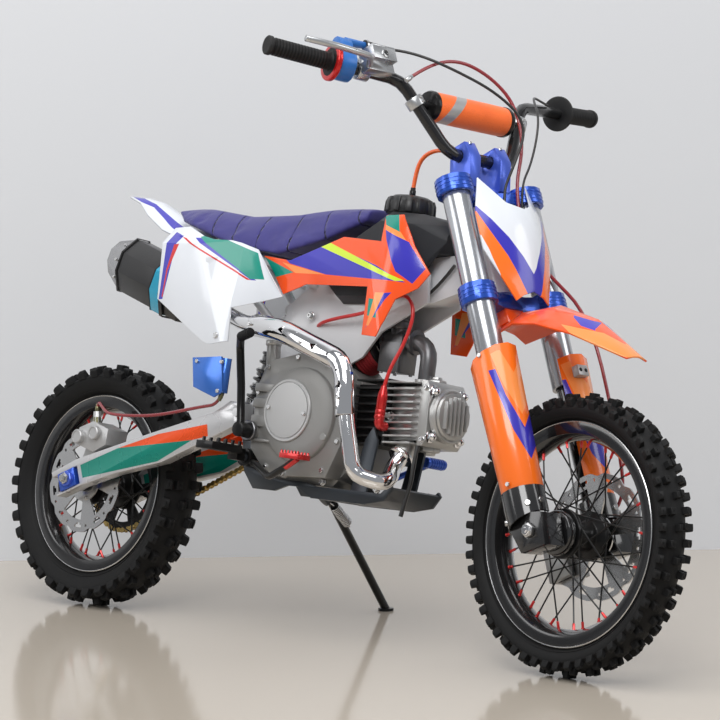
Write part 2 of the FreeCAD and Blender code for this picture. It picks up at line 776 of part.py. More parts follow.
def crankcase():
    """Engine cases with the clutch cover, generator cover, filler and the output sprocket."""
    block = side_plate(CASE, -CASE_HALF, CASE_HALF)
    hump = side_plate(HUMP, -HUMP_HALF, HUMP_HALF)
    cover = side_plate(COVER, -COVER_OUT, -CASE_HALF + 1)
    bulge = rod_y(CRANK_X, CRANK_Z, CLUTCH_R, -PLATE_OUT + 4, -COVER_OUT + 1, 20, CLUTCH_R + 16)
    plate = rod_y(CRANK_X, CRANK_Z, PLATE_R, -PLATE_OUT, -PLATE_OUT + 5, 20)
    left = side_plate(LEFT_COVER, CASE_HALF - 1, CASE_HALF + 30)
    nose = rod_y(CRANK_X + 6, CRANK_Z, 58, CASE_HALF + 29, CASE_HALF + 42, 16, 46)
    filler = rod((488, -84, 478), (482, -84, 522), 13, 10)
    kick = rod_y(KICK_X, KICK_Z, 17, -PLATE_OUT, -CASE_HALF + 1, 12)
    room = rod_y(OUTPUT_X, OUTPUT_Z, 42, 44, 64, 16)
    case = fuse([block, hump, cover, bulge, plate, left, nose, filler, kick])
    case = case.cut([room, tilted(box(CYL_START - JOINT_GAP, 800, -80, 80, 200, 600))])
    gear = sprocket(FRONT_TEETH, CHAIN_Y, OUTPUT_SHAFT_R - 1)
    gear.translate(V(OUTPUT_X, 0, OUTPUT_Z))
    return fuse([case, gear, rod_y(OUTPUT_X, OUTPUT_Z, OUTPUT_SHAFT_R, 40, 61, 12)])


def fins(x0, x1, half, count, z_low, z_high):
    step = (z_high - z_low) / (count - 1)
    return [box(x0, x1, -half, half, z_low + k * step - FIN_THICK / 2, z_low + k * step + FIN_THICK / 2)
            for k in range(count)]


def tilted(shape):
    shape = shape.copy()
    shape.rotate(V(CYL_START, 0, BORE_Z), Y_AXIS, -BORE_TILT)
    return shape


def cylinder():
    core = box(CYL_START, CYL_END, -46, 46, BORE_Z - 50, BORE_Z + 50)
    plates = fins(CYL_START + 4, CYL_END - 3, FIN_HALF, 9, BORE_Z - 57, BORE_Z + 57)
    collar = box(CYL_END - 4, CYL_END, -FIN_HALF, FIN_HALF, BORE_Z - 60, BORE_Z + 60)
    return tilted(fuse([core, collar] + plates))


def head():
    """Finned head with its cam box, the ribbed nose, both ports and the spark plug."""
    x0 = CYL_END + JOINT_GAP
    core = box(x0, HEAD_END - 18, -46, 46, BORE_Z - 48, BORE_Z + 48)
    plates = fins(x0, HEAD_END - 24, HEAD_FIN_HALF, 10, BORE_Z - 54, BORE_Z + 54)
    nose = side_plate([(HEAD_END - 20, BORE_Z - 57), (HEAD_END - 20, BORE_Z + 59), (HEAD_END - 8, BORE_Z + 59),
                       (HEAD_END, BORE_Z + 46), (HEAD_END, BORE_Z - 46), (HEAD_END - 8, BORE_Z - 57)], -49, 49)
    dome = rod((HEAD_END - 1, 0, BORE_Z), (HEAD_END + 20, 0, BORE_Z), DOME_R + 4, 16, DOME_R)
    ribs = []
    for y in (-27, -16, -5, 6, 17, 28):
        tall = math.sqrt((DOME_R - 3) ** 2 - y ** 2) - 4
        ribs.append(box(HEAD_END + 18, HEAD_END + 27, y - 2.2, y + 1.2, BORE_Z - tall, BORE_Z + tall))
    intake = rod((790, -4, BORE_Z + 40), (790, -4, 485), PORT_R)
    solid = fuse([tilted(fuse([core, nose, dome] + plates + ribs)), intake])
    out = V(*PORT_DIR)
    end = V(*PORT_END)
    port = rod(end - out * 26, end, PORT_R)
    plug = rod((763, -40, 413), (763, -73.9, 413), 5, 8)
    return fuse([solid, port, plug])


def carburettor():
    """Intake pipe up from the head, the carburettor body, its bowl and its cap."""
    pipe = bent_rod([(790, -4, 485 + JOINT_GAP), (790, -4, 550), (726, -4, 552)], 15, 34, 12)
    body = rod((738, -4, 552), (690, -4, 550), 21)
    slide = rod((714, -4, 545), (713, -4, 594), 17)
    bowl = box(692, 740, -28, 20, 494, 548)
    flange = rod((750, -4, 552), (758, -4, 552), 24)
    return fuse([pipe, body, slide, bowl, flange])


def air_filter():
    return rod((690 - JOINT_GAP - 16, -2, 545), (634, -2, 520), 34, 14, 37)


PIPE_PATH = [PORT_END, (792, -61, 322), (812, -94, 289), (768, -136, 300), (740, -142, 392),
             (718, -142, 492), (560, -142, 542), (430, -118, 556), (340, -92, 580), (292, -92, 592.3)]
PIPE_BENDS = [0, 30, 30, 30, 120, 46, 120, 120, 60, 0]


# how far out the pipe's bosses reach: to the flat of the shield's inside
SHIELD_IN = (PIPE_R + SHIELD_GAP) * math.cos(math.radians(17)) - JOINT_GAP


def exhaust_pipe():
    out = V(*PORT_DIR)
    start = V(*PORT_END) + out * JOINT_GAP
    pipe = bent_rod([start] + PIPE_PATH[1:], PIPE_R, PIPE_BENDS, 10, 24.0)
    bosses = [rod((x, y + PIPE_R - 3, z), (x, y - SHIELD_IN, z), 5, 8) for x, y, z in
              ((731.6, -142, 430), (620, -142, 523))]
    return fuse([pipe, rod(start, start + out * 6, 24)] + bosses)


def heat_shield():
    """Half-round cover on the outside of the pipe."""
    outer, inner = [], []
    for k in range(6):
        a = math.radians(95 + 34 * k)
        for ring, r in ((outer, PIPE_R + SHIELD_GAP + SHIELD_THICK), (inner, PIPE_R + SHIELD_GAP)):
            ring.append((r * math.cos(a), r * math.sin(a)))
    path = [(738, -142, 400)] + PIPE_PATH[5:7] + [(470, -125.4, 551.7)]
    return swept(path, outer + inner[::-1], [0] + PIPE_BENDS[5:7] + [0], 20.0)


def muffler():
    """Faceted can with a cone end cap and its inlet cone."""
    front = V(*PIPE_PATH[-1]) - V(0.5, 0, -0.1)
    places = [(V(42, MUFFLER_Y, 668), 0.62), (V(86, MUFFLER_Y, 654), 0.97), (V(88, MUFFLER_Y, 653.4), 1.0),
              (V(258, MUFFLER_Y, 600), 1.0), (front, 0.42)]
    loops = []
    for at, scale in places:
        up = V(0.30, 0, 0.954)
        shape = ((0.45, 1), (1, 0.3), (1, -0.42), (0.35, -1), (-0.45, -1), (-1, -0.3), (-1, 0.42), (-0.35, 1))
        loops.append([at + Y_AXIS * (u * MUFFLER_WIDE * scale) + up * (v * MUFFLER_TALL * scale)
                      for u, v in shape])
    outlet = rod((22, MUFFLER_Y, 675), (66, MUFFLER_Y, 660), 16, 10)
    return skin(loops).cut(outlet)


# Bodywork
SEAT_STATIONS = [
    dict(x=120, top=774, half_top=36, low=767, half_low=46),
    dict(x=170, top=771, half_top=50, low=750, half_low=62),
    dict(x=215, top=768, half_top=60, low=738, half_low=78),
    dict(x=335, top=755, half_top=66, low=704, half_low=88),
    dict(x=455, top=761, half_top=62, low=690, half_low=84),
    dict(x=560, top=778, half_top=50, low=724, half_low=70),
    dict(x=634, top=788, half_top=38, low=764, half_low=46),
]


def seat():
    loops = []
    for s in SEAT_STATIONS:
        top, low = s["top"], s["low"]
        right = [(s["half_top"] * 0.6, top - 1.5), (s["half_top"], top - 6), (s["half_low"], (top + 2 * low) / 3),
                 (s["half_low"] - 2, low)]
        ring = [(0, top)] + right + [(-y, z) for y, z in reversed(right)]
        loops.append([V(s["x"], y, z) for y, z in ring])
    return skin(loops)


TANK_STATIONS = [
    dict(x=560, low=640, top=694, half=60),
    dict(x=610, low=608, top=730, half=74),
    dict(x=694, low=612, top=781, half=76),
    dict(x=770, low=640, top=778, half=72),
    dict(x=836, low=716, top=760, half=50),
]
CAP_X = 694.0
CAP_Z = 781.0
CAP_R = 36.0
CAP_TALL = 36.0
BOSS_R = 6.0
# bosses on the tank that carry the shrouds: X, Z and how far out each ends
SHROUD_BOSSES = [(700, 700, 108.8), (700, 650, 111.5)]
# bosses inside the side panels: X, Z, and from where to where
SIDE_BOSSES = [(330, 657.7, 69.7, 134.5), (240, 708.1, 70.7, 122.5)]


def fuel_tank():
    """Tank between the shrouds: a saddle over the spine with a raised front under the cap."""
    loops = []
    for s in TANK_STATIONS:
        half, low, top = s["half"], s["low"], s["top"]
        right = [(half * 0.6, top), (half, top - 22), (half, low + 12), (half * 0.7, low)]
        loops.append([V(s["x"], y, z) for y, z in right + [(-y, z) for y, z in reversed(right)]])
    under = [(500, 590), (880, 590), (880, 716), (800, 704 + JOINT_GAP), (640, 668 + JOINT_GAP), (500, 662)]
    neck = rod((CAP_X, 0, CAP_Z - 31), (CAP_X, 0, CAP_Z), CAP_R - 2, 16)
    bosses = []
    for x, z, y in SHROUD_BOSSES:
        bosses += [rod((x, side * 70, z), (x, side * y, z), BOSS_R, 8) for side in (1, -1)]
    return fuse([skin(loops).cut(side_plate(under, -50, 50)), neck] + bosses)


def tank_cap():
    """Ribbed filler cap."""
    corners = []
    for k in range(24):
        a = math.pi * k / 12
        r = CAP_R if k % 2 == 0 else CAP_R - 3.0
        corners.append((CAP_X + r * math.cos(a), r * math.sin(a)))
    grip = top_plate(corners, CAP_Z + JOINT_GAP, CAP_Z + CAP_TALL - 7)
    top = rod((CAP_X, 0, CAP_Z + CAP_TALL - 8), (CAP_X, 0, CAP_Z + CAP_TALL), CAP_R - 4, 16, CAP_R - 12)
    return fuse([grip, top])


SHROUD_OUTLINE = [
    (436, 684), (470, 652), (502, 614), (560, 634), (724, 634), (730, 547), (766, 545), (780, 575),
    (794, 614), (832, 637), (850, 664), (800, 730), (770, 768), (732, 765), (742, 716), (640, 723),
    (507, 677),
]
SHROUD_WALL = [
    (428, [(790, 88), (690, 94), (530, 96)]),
    (540, [(790, 90), (690, 100), (530, 104)]),
    (700, [(790, 92), (720, 112), (530, 122)]),
    (776, [(790, 88), (720, 122), (530, 128)]),
    (858, [(790, 80), (700, 96), (530, 100)]),
]
SIDE_OUTLINE = [
    (202, 728), (213, 588), (361, 508), (412, 518), (408, 580), (470, 600), (495, 608), (466, 645), (432, 680),
    (396, 690), (330, 700), (240, 732),
]
SIDE_WALL = [
    (196, [(740, 92), (694, 134), (500, 136)]),
    (300, [(740, 100), (694, 137), (500, 138)]),
    (400, [(740, 98), (694, 134), (500, 138)]),
    (520, [(740, 90), (680, 100), (500, 108)]),
]


FENDER_STATIONS = [
    dict(x=-38, z=802, half=8, drop=2),
    dict(x=20, z=799, half=32, drop=14),
    dict(x=60, z=790, half=46, drop=30),
    dict(x=118, z=763, half=58, drop=32),
    dict(x=170, z=742, half=53, drop=28),
    dict(x=228, z=728, half=53.2, drop=20),
]


def side_panel():
    """Left panel with the two bosses that meet the seat rail and its strut."""
    bosses = [rod((x, y0, z), (x, y1, z), BOSS_R - 1, 8) for x, z, y0, y1 in SIDE_BOSSES]
    return fuse([moulded_panel(SIDE_OUTLINE, SIDE_WALL)] + bosses)


def rear_fender():
    return arched([(V(s["x"], 0, s["z"]), Z_AXIS, s["half"], s["drop"]) for s in FENDER_STATIONS])


# Controls and small chassis pieces
PEG_FROM = 118.0
PEG_TO = 196.0
PEG_ARM_FROM = PEG_BAR_HALF + JOINT_GAP


def footpeg():
    """Toothed left peg on its arm."""
    base = box(430, 472, PEG_FROM, PEG_TO, 316, 330).cut(box(440, 462, PEG_FROM + 12, PEG_TO - 10, 310, 345))
    teeth = [box(x, x + 4, y, y + 6, 329, 338) for x in (430, 468)
             for y in (PEG_FROM + 4, PEG_FROM + 22, PEG_FROM + 40, PEG_FROM + 58)]
    arm = box(440, 464, PEG_ARM_FROM, PEG_FROM + 4, 304, 326)
    return fuse([base, arm] + teeth)


def kick_starter():
    lever = bent_rod([(KICK_X, -128, KICK_Z), (462, -134, 440), (458, -146, 508), (482, -172, 524),
                      (534, -202, 530)], 7.5, [0, 40, 18, 16, 0], 10, 30.0)
    boss = rod_y(KICK_X, KICK_Z, 14, -136, -PLATE_OUT - JOINT_GAP, 12)
    return fuse([lever, boss])


def brake_pedal():
    arm = bent_rod([(468, -84, 304), (498, -104, 300), (556, -126, 279), (604, -136, 301), (634, -142, 317)],
                   6.5, [0, 20, 25, 20, 0], 8)
    tip = box(606, 652, -160, -128, 315, 324)
    eye = rod_y(PEG_X, PEG_Z, 17, -92, -CRADLE_OUT - JOINT_GAP, 12)
    bore = hole((PEG_X, -95, PEG_Z), (PEG_X, -60, PEG_Z), PEG_BAR_R + JOINT_GAP)
    return fuse([arm, tip, eye]).cut(bore)


def rear_master_cylinder():
    """Rear brake's master cylinder and its small tank behind the guard plate."""
    barrel = rod((392, -110, 424), (392, -110, 488), 10)
    guard = side_plate([(318, 484), (392, 490), (406, 426), (386, 414), (330, 430)], -125, -120.5)
    tank = rod((356, -110, 434), (356, -110, 480), 11)
    link = box(352, 398, -121, -106, 440, 460)
    return fuse([barrel, guard, tank, link])


def rear_caliper():
    """Caliper over the top of the rear disc, on its bracket round the axle."""
    body = side_plate([(-8, 306), (4, 336), (40, 350), (84, 338), (82, 308), (50, 292)], -92, REAR_DISC_Y + 14)
    pistons = [rod_y(x, z, r, -y, -70, 12) for x, z, r, y in ((10, 318, 13, 102), (52, 328, 13, 100))]
    banjo = rod((32, -74, 345), (28, -74, 370), 8, 8)
    low = REAR_DISC_Y - DISC_THICK / 2 - PAD_GAP
    high = REAR_DISC_Y + DISC_THICK / 2 + PAD_GAP
    slot = hole((0, low, REAR_AXLE.z), (0, high, REAR_AXLE.z), REAR_DISC_R + PAD_GAP, 24)
    bracket = side_plate([(-14, 235), (14, 235), (52, 300), (8, 310)], -69, -63)
    eye = rod_y(0, REAR_AXLE.z, 20, -ARM_IN + JOINT_GAP, -63, 12)
    solid = fuse([body, banjo, bracket, eye] + pistons)
    return solid.cut([slot, shaft((0, -80, REAR_AXLE.z), (0, -50, REAR_AXLE.z), AXLE_R + FIT_GAP)])


REAR_HOSE = [(27.9, -74, 370.6), (27, -76, 392), (90, -104, 366), (230, -106, 372), (340, -106, 398),
             (392, -110, 404), (392, -110, 423.7)]


def rear_brake_hose():
    return cord(REAR_HOSE, 3.2)


def shift_lever():
    spindle = rod_y(566, 290, 8, CASE_HALF + JOINT_GAP, 116, 12)
    arm = bent_rod([(566, 112, 290), (640, 120, 312), (716, 122, 344)], 6, 30, 8)
    tip = rod((716, 108, 346), (716, 158, 346), 9, 10)
    return fuse([spindle, arm, tip])


def plug_lead():
    """Spark plug cap and its lead up under the tank."""
    cap = rod((762.5, -83, 403), (763, -82, 458), 9.5, 8, 8)
    lead = cord([(762.7, -82, 457), (778, -80, 520), (806, -66, 610)], 3.5)
    return fuse([cap, lead])


DRAIN_HOSE = [(828, -46, 365.3), (828, -50, 302), (818, -54, 238)]
LOWER_CABLE = [(713, -4, 594.3), (713, -6, 603), (726, -32, 606), (800, -32, 632), (846, -32, 690)]
VENT_HOSE = [(CAP_X, 0, CAP_Z + CAP_TALL + JOINT_GAP), (CAP_X, 0, 870), (744, 6, 904), (824, 6, 868)]


def engine_hoses():
    """Overflow hose beside the cylinder and the throttle cable's lower run."""
    return Part.makeCompound([cord(DRAIN_HOSE, 4.0), cord(LOWER_CABLE, 3.0)])


def vent_hose():
    return cord(VENT_HOSE, 4.0)


# Side stand, worked out from where its foot meets the floor
def stand_axis(to_bike):
    """The pivot's axis: square to the leg where it is down and where it is folded back."""
    down = to_bike(V(STAND_FOOT_X, STAND_FOOT_Y, STAND_FOOT_THICK)) - V(*STAND_PIVOT)
    axis = down.cross(V(*STAND_FOLDED))
    axis.normalize()
    return axis


def side_stand(to_bike):
    """Leg, foot and eye, with the foot laid flat on the floor of the parked bike."""
    pivot = V(*STAND_PIVOT)
    axis = stand_axis(to_bike)
    foot_top = to_bike(V(STAND_FOOT_X, STAND_FOOT_Y, STAND_FOOT_THICK))
    foot_low = to_bike(V(STAND_FOOT_X, STAND_FOOT_Y, 0))
    pad = rod(foot_low, foot_top, STAND_FOOT_R, 12)
    end = foot_top + (foot_low - foot_top) * 0.4
    leg = rod(pivot, end, STAND_R, 12)
    eye = rod(pivot - axis * STAND_HALF, pivot + axis * STAND_HALF, STAND_EYE_R, 12)
    under = Part.makeBox(200, 200, 60, V(-100, -100, -60))
    under.Placement = FreeCAD.Placement(foot_low, FreeCAD.Rotation(Z_AXIS, foot_top - foot_low))
    bolt = shaft(pivot - axis * 20, pivot + axis * 20, STAND_BOLT_R + FIT_GAP)
    return fuse([leg, eye, pad]).cut([under, bolt])


def stand_spring(to_bike):
    """Return spring beside the leg, from its eye."""
    pivot = V(*STAND_PIVOT)
    axis = stand_axis(to_bike)
    down = to_bike(V(STAND_FOOT_X, STAND_FOOT_Y, STAND_FOOT_THICK)) - pivot
    down.normalize()
    beside = down.cross(axis)
    beside.normalize()
    start = pivot + beside * 14.0 + down * 16.0
    return rod(start, start + down * 64.0 - beside * 2.0, 4.5, 8)


def stand_bracket(to_bike):
    """Fork-shaped lug on the cradle that holds the stand's bolt."""
    pivot = V(*STAND_PIVOT)
    axis = stand_axis(to_bike)
    inner = STAND_HALF + JOINT_GAP
    cheeks = [rod(pivot + axis * s, pivot + axis * (s + 6.0), STAND_EYE_R, 12) for s in (-inner - 6.0, inner)]
    base = box(486, 540, CRADLE_OUT - 2, CRADLE_OUT + 7, 262, 279)
    web = box(492, 536, CRADLE_OUT + 6, CRADLE_OUT + 14, 260, 286)
    room = rod(pivot - axis * inner, pivot + axis * inner, STAND_EYE_R + 5.0, 14)
    bolt = shaft(pivot - axis * (inner + 6), pivot + axis * (inner + 6), STAND_BOLT_R)
    return fuse([fuse(cheeks + [base, web]).cut(room), bolt])


# Pieces on the fork, in fork axes
PLATE_PEG_S = 452.0
PLATE_PEG_END = 81.1
CLAMP_LOW_S = LOWER_RING_S - (RING_TALL + 4) / 2 + 3


def clamp_plate(s, tall, back, front):
    """A clamp's plate and its two rings, and the tubes' holes."""
    low = s - tall / 2
    sides = (1, -1)
    rings = [rod((LEG_AHEAD, side * LEG_HALF, low), (LEG_AHEAD, side * LEG_HALF, low + tall), RING_R, 14)
             for side in sides]
    web = top_plate([(back, -34), (LEG_AHEAD - 16, -LEG_HALF), (LEG_AHEAD + 18, -LEG_HALF), (front, -30),
                     (front, 30), (LEG_AHEAD + 18, LEG_HALF), (LEG_AHEAD - 16, LEG_HALF), (back, 34)],
                    low + 3, s + tall / 2 - 5)
    holes = [hole((LEG_AHEAD, side * LEG_HALF, low - 1), (LEG_AHEAD, side * LEG_HALF, low + tall + 1),
                  TUBE_R + JOINT_GAP, 16) for side in sides]
    return rings + [web], holes


def upper_clamp():
    """Upper clamp with the two bar risers and the stem's nut."""
    solids, holes = clamp_plate(UPPER_RING_S, RING_TALL, -30, 30)
    top = UPPER_RING_S + RING_TALL / 2 - 6
    risers = [side_box(side, -6, 60, RISER_Y - RISER_WIDE / 2, RISER_Y + RISER_WIDE / 2, top, BAR_S + 20)
              for side in (1, -1)]
    trims = [side_plate([(-10, top + 20), (-10, BAR_S + 30), (14, BAR_S + 30), (0, BAR_S - 10)], -80, 80),
             side_plate([(36, top - 1), (54, BAR_S - 10), (44, BAR_S + 30), (90, BAR_S + 30), (90, top - 1)],
                        -80, 80)]
    risers = [r.cut(trims) for r in risers]
    nut = rod((0, 0, top), (0, 0, top + 14), 15, 6)
    stem_hole = hole((0, 0, UPPER_RING_S - 20), (0, 0, UPPER_RING_S + 6 + JOINT_GAP), STEM_R + JOINT_GAP)
    bar_hole = hole((BAR_F, -60, BAR_S), (BAR_F, 60, BAR_S), BAR_R + JOINT_GAP / 2)
    return fuse(solids + risers + [nut]).cut(holes + [bar_hole, stem_hole])


def lower_clamp():
    """Lower clamp with the steering stem pressed into it."""
    solids, holes = clamp_plate(LOWER_RING_S, RING_TALL + 4, -30, 34)
    stem = shaft((0, 0, LOWER_RING_S), (0, 0, UPPER_RING_S + 6), STEM_R)
    peg = rod((33, 0, PLATE_PEG_S), (PLATE_PEG_END, 0, PLATE_PEG_S), 6, 8)
    return fuse([fuse(solids + [peg]).cut(holes), stem])


def fork_tube():
    """Left outer tube."""
    top = UPPER_RING_S + RING_TALL / 2 + 3
    outer = rod((LEG_AHEAD, LEG_HALF, TUBE_LOW_S), (LEG_AHEAD, LEG_HALF, top), TUBE_R, 16)
    return outer.cut(hole((LEG_AHEAD, LEG_HALF, TUBE_LOW_S - 1), (LEG_AHEAD, LEG_HALF, TUBE_LOW_S + 120),
                          STANCHION_R + JOINT_GAP, 16))


LUG_SIDE = [(AXLE_AHEAD - 30, -30), (AXLE_AHEAD + 26, -34), (AXLE_AHEAD + 32, 22), (AXLE_AHEAD - 4, 34),
            (LEG_AHEAD - 22, 20)]
LUG_IN = LEG_HALF - 22.0
LUG_OUT = LEG_HALF + 26.0


def fork_slider():
    """Left inner tube and the cast lug that carries the axle ahead of it."""
    inner = rod((LEG_AHEAD, LEG_HALF, LUG_TOP_S - 10), (LEG_AHEAD, LEG_HALF, TUBE_LOW_S + 100), STANCHION_R, 16)
    cup = rod((LEG_AHEAD, LEG_HALF, LUG_LOW_S), (LEG_AHEAD, LEG_HALF, LUG_TOP_S), LUG_R, 16, LUG_TOP_R)
    block = side_plate(LUG_SIDE, LUG_IN, LUG_OUT)
    bore = shaft((AXLE_AHEAD, LUG_IN - 9, 0), (AXLE_AHEAD, LUG_OUT + 9, 0), AXLE_R + FIT_GAP)
    return fuse([inner, cup, block]).cut(bore)


GUARD_STATIONS = [dict(s=70, r=37.0, slope=0.0), dict(s=322, r=43.0, slope=0.3)]


def fork_guard():
    """Half-round guard ahead of and outside the left leg, over the inner tube."""
    grids = []
    for thick in (0.0, PANEL):
        grid = []
        for station in GUARD_STATIONS:
            row = []
            for k in range(7):
                a = math.radians(-60 + 33 * k)
                ahead = 4 + (station["r"] - thick) * math.cos(a)
                row.append(V(LEG_AHEAD + ahead, LEG_HALF + (station["r"] - thick) * math.sin(a),
                             station["s"] + station["slope"] * ahead))
            grid.append(row)
        grids.append(grid)
    foot = box(LEG_AHEAD + 18, LEG_AHEAD + 37, LEG_HALF - 10, LEG_HALF + 10, 70, 78)
    room = rod((LEG_AHEAD, LEG_HALF, 0), (LEG_AHEAD, LEG_HALF, LUG_TOP_S + 20), LUG_TOP_R + JOINT_GAP, 16)
    return fuse([double_skin(*grids), foot]).cut(room)


def front_axle():
    """Hollow axle with a shoulder against each lug."""
    parts = [shaft((AXLE_AHEAD, -FRONT_AXLE_HALF, 0), (AXLE_AHEAD, FRONT_AXLE_HALF, 0), AXLE_R)]
    for y0, y1 in ((LUG_OUT + JOINT_GAP, LUG_OUT + 8), (-LUG_OUT - 8, -LUG_OUT - JOINT_GAP)):
        parts.append(rod_y(AXLE_AHEAD, 0, 13, y0, y1, 6))
    return fuse(parts).cut(
        shaft((AXLE_AHEAD, -FRONT_AXLE_HALF - 1, 0), (AXLE_AHEAD, FRONT_AXLE_HALF + 1, 0), AXLE_BORE_R))


BAR_HALF_PATH = [(BAR_F, BAR_LOW_Y, BAR_S), BAR_TOP, BAR_END]
BAR_PATH = [(f, -y, s) for f, y, s in reversed(BAR_HALF_PATH)] + BAR_HALF_PATH


def handlebar():
    return bent_rod(BAR_PATH, BAR_R, BAR_BEND, 10, 26.0)


def bar_pad():
    """Crossbar with its pad and the two clamps that hold it to the bar."""
    share = (CROSSBAR_S - BAR_S) / (BAR_TOP[2] - BAR_S)
    f = BAR_F + (BAR_TOP[0] - BAR_F) * share
    end_y = BAR_LOW_Y + (BAR_TOP[1] - BAR_LOW_Y) * share
    pad = rod((f, -PAD_HALF, CROSSBAR_S), (f, PAD_HALF, CROSSBAR_S), PAD_R, 16)
    bar = rod((f, -end_y, CROSSBAR_S), (f, end_y, CROSSBAR_S), CROSSBAR_R)
    rise = V(*BAR_TOP) - V(*BAR_HALF_PATH[0])
    rise.normalize()
    clamps = []
    for side in (1, -1):
        at = V(f, side * end_y, CROSSBAR_S)
        along = V(rise.x, side * rise.y, rise.z)
        clamps.append(rod(at - along * 9, at + along * 9, BAR_R + 6, 12))
    room = bent_rod(BAR_PATH, (BAR_R + JOINT_GAP) / math.cos(math.pi / 10), BAR_BEND, 10, 26.0)
    return fuse([pad, bar] + clamps).cut(room)


def bar_direction(side):
    d = V(BAR_END[0] - BAR_TOP[0], side * (BAR_END[1] - BAR_TOP[1]), BAR_END[2] - BAR_TOP[2])
    d.normalize()
    return d


def on_bar(side, back):
    """A point on the bar's end run, so far in from its tip."""
    return V(BAR_END[0], side * BAR_END[1], BAR_END[2]) - bar_direction(side) * back


def sleeve(side, back0, back1, r, sides=14):
    a, b = on_bar(side, back0), on_bar(side, back1)
    return rod(a, b, r, sides)


def bar_room(side, back0, back1):
    a, b = on_bar(side, back0), on_bar(side, back1)
    return hole(a, b, BAR_R + JOINT_GAP / 2)


def grip(side):
    """Rubber grip with its inner flange."""
    body = sleeve(side, -4.0, GRIP_LONG, GRIP_R)
    flange = sleeve(side, GRIP_LONG - 1, GRIP_LONG + 5, FLANGE_R)
    return fuse([body, flange]).cut(bar_room(side, -JOINT_GAP, GRIP_LONG + 20))


def throttle_housing():
    """Twist-grip housing with the cable's outlet horn."""
    body = sleeve(-1, GRIP_LONG + 6, GRIP_LONG + 38, 29)
    mid = on_bar(-1, GRIP_LONG + 22)
    inboard = bar_direction(-1) * -1
    wheel = rod(mid + V(6, 0, 26) - inboard * 12, mid + V(6, 0, 26) + inboard * 12, 22, 12)
    horn = rod(mid + V(12, 8, 40), mid + V(16, 56, 40), 9, 10, 6)
    return fuse([body, wheel, horn]).cut(bar_room(-1, GRIP_LONG, GRIP_LONG + 60))


def brake_lever():
    """Front master cylinder with its reservoir and lever."""
    at = on_bar(-1, GRIP_LONG + 62)
    clamp = sleeve(-1, GRIP_LONG + 52, GRIP_LONG + 74, 19)
    block = box(at.x + 12, at.x + 34, at.y - 14, at.y + 46, at.z - 16, at.z + 3)
    tank = box(at.x + 8, at.x + 46, at.y - 8, at.y + 46, at.z + 2, at.z + 28)
    lever = bent_rod([(at.x + 30, at.y - 10, at.z - 9), (at.x + 62, at.y - 36, at.z - 10),
                      (at.x + 60, at.y - 110, at.z - 4), (at.x + 44, at.y - 168, at.z + 8)], 6,
                     [0, 20, 60, 0], 8, 30.0)
    return fuse([clamp, block, tank, lever]).cut(bar_room(-1, GRIP_LONG + 40, GRIP_LONG + 120))


PLATE_HALF = [
    # rows from the top: points from the middle to the edge, as F, Y, S
    [(104, 0, 590), (92, -30, 604), (66, -60, 660)],
    [(108, 0, 545), (92, -40, 555), (66, -84, 590)],
    [(100, 0, 500), (86, -40, 500), (66, -84, 520)],
    [(84, 0, 440), (82, -24, 432), (76, -40, 422)],
]


def number_plate():
    """Blank front plate, folded back at both sides."""
    front = [[V(*p) for p in reversed(half)] + [V(f, -y, s) for f, y, s in half[1:]] for half in PLATE_HALF]
    return double_skin(front, [[p - X_AXIS * PANEL for p in row] for row in front])


MUDGUARD_STATIONS = [
    dict(f=-2, s=405, half=46, drop=22),
    dict(f=70, s=410, half=56, drop=30),
    dict(f=136, s=392, half=58, drop=38),
    dict(f=210, s=334, half=54, drop=32),
    dict(f=276, s=238, half=26, drop=6),
]


def mudguard():
    """Front mudguard under the lower clamp."""
    stations = []
    last = len(MUDGUARD_STATIONS) - 1
    for i, station in enumerate(MUDGUARD_STATIONS):
        a, b = MUDGUARD_STATIONS[max(i - 1, 0)], MUDGUARD_STATIONS[min(i + 1, last)]
        along = V(b["f"] - a["f"], 0, b["s"] - a["s"])
        along.normalize()
        up = V(-along.z, 0, along.x)
        stations.append((V(station["f"], 0, station["s"]), up, station["half"], station["drop"]))
    pad = box(4, 30, -22, 22, 404, CLAMP_LOW_S - JOINT_GAP)
    return fuse([arched(stations), pad])


CALIPER_BACK = 112.0
CALIPER_FRONT = 62.0


def front_caliper():
    """Caliper behind the left leg, on its bracket."""
    y = FRONT_DISC_Y
    body = box(AXLE_AHEAD - CALIPER_BACK, AXLE_AHEAD - CALIPER_FRONT, y - 17, y + 34, -46, 22)
    slot = hole((AXLE_AHEAD, y - DISC_THICK / 2 - PAD_GAP, 0), (AXLE_AHEAD, y + DISC_THICK / 2 + PAD_GAP, 0),
                FRONT_DISC_R + PAD_GAP, 24)
    lug = box(AXLE_AHEAD - CALIPER_FRONT - 2, LEG_AHEAD - LUG_TOP_R - 1, y + 8, LEG_HALF, 0, 22)
    ear = box(LEG_AHEAD - LUG_TOP_R - 2, LEG_AHEAD - LUG_TOP_R + 12, LEG_HALF - 20, LEG_HALF, 4, 18)
    cup = rod((LEG_AHEAD, LEG_HALF, LUG_LOW_S), (LEG_AHEAD, LEG_HALF, LUG_TOP_S), LUG_R + JOINT_GAP * 2, 16,
              LUG_TOP_R + JOINT_GAP * 2)
    grown = [(AXLE_AHEAD - 30.5, -31), (AXLE_AHEAD + 26, -35), (AXLE_AHEAD + 33, 22), (AXLE_AHEAD - 4, 35),
             (LEG_AHEAD - 22.7, 20.4)]
    return fuse([body, lug, ear]).cut([slot, cup, side_plate(grown, LUG_IN - JOINT_GAP, LUG_OUT + 9)])


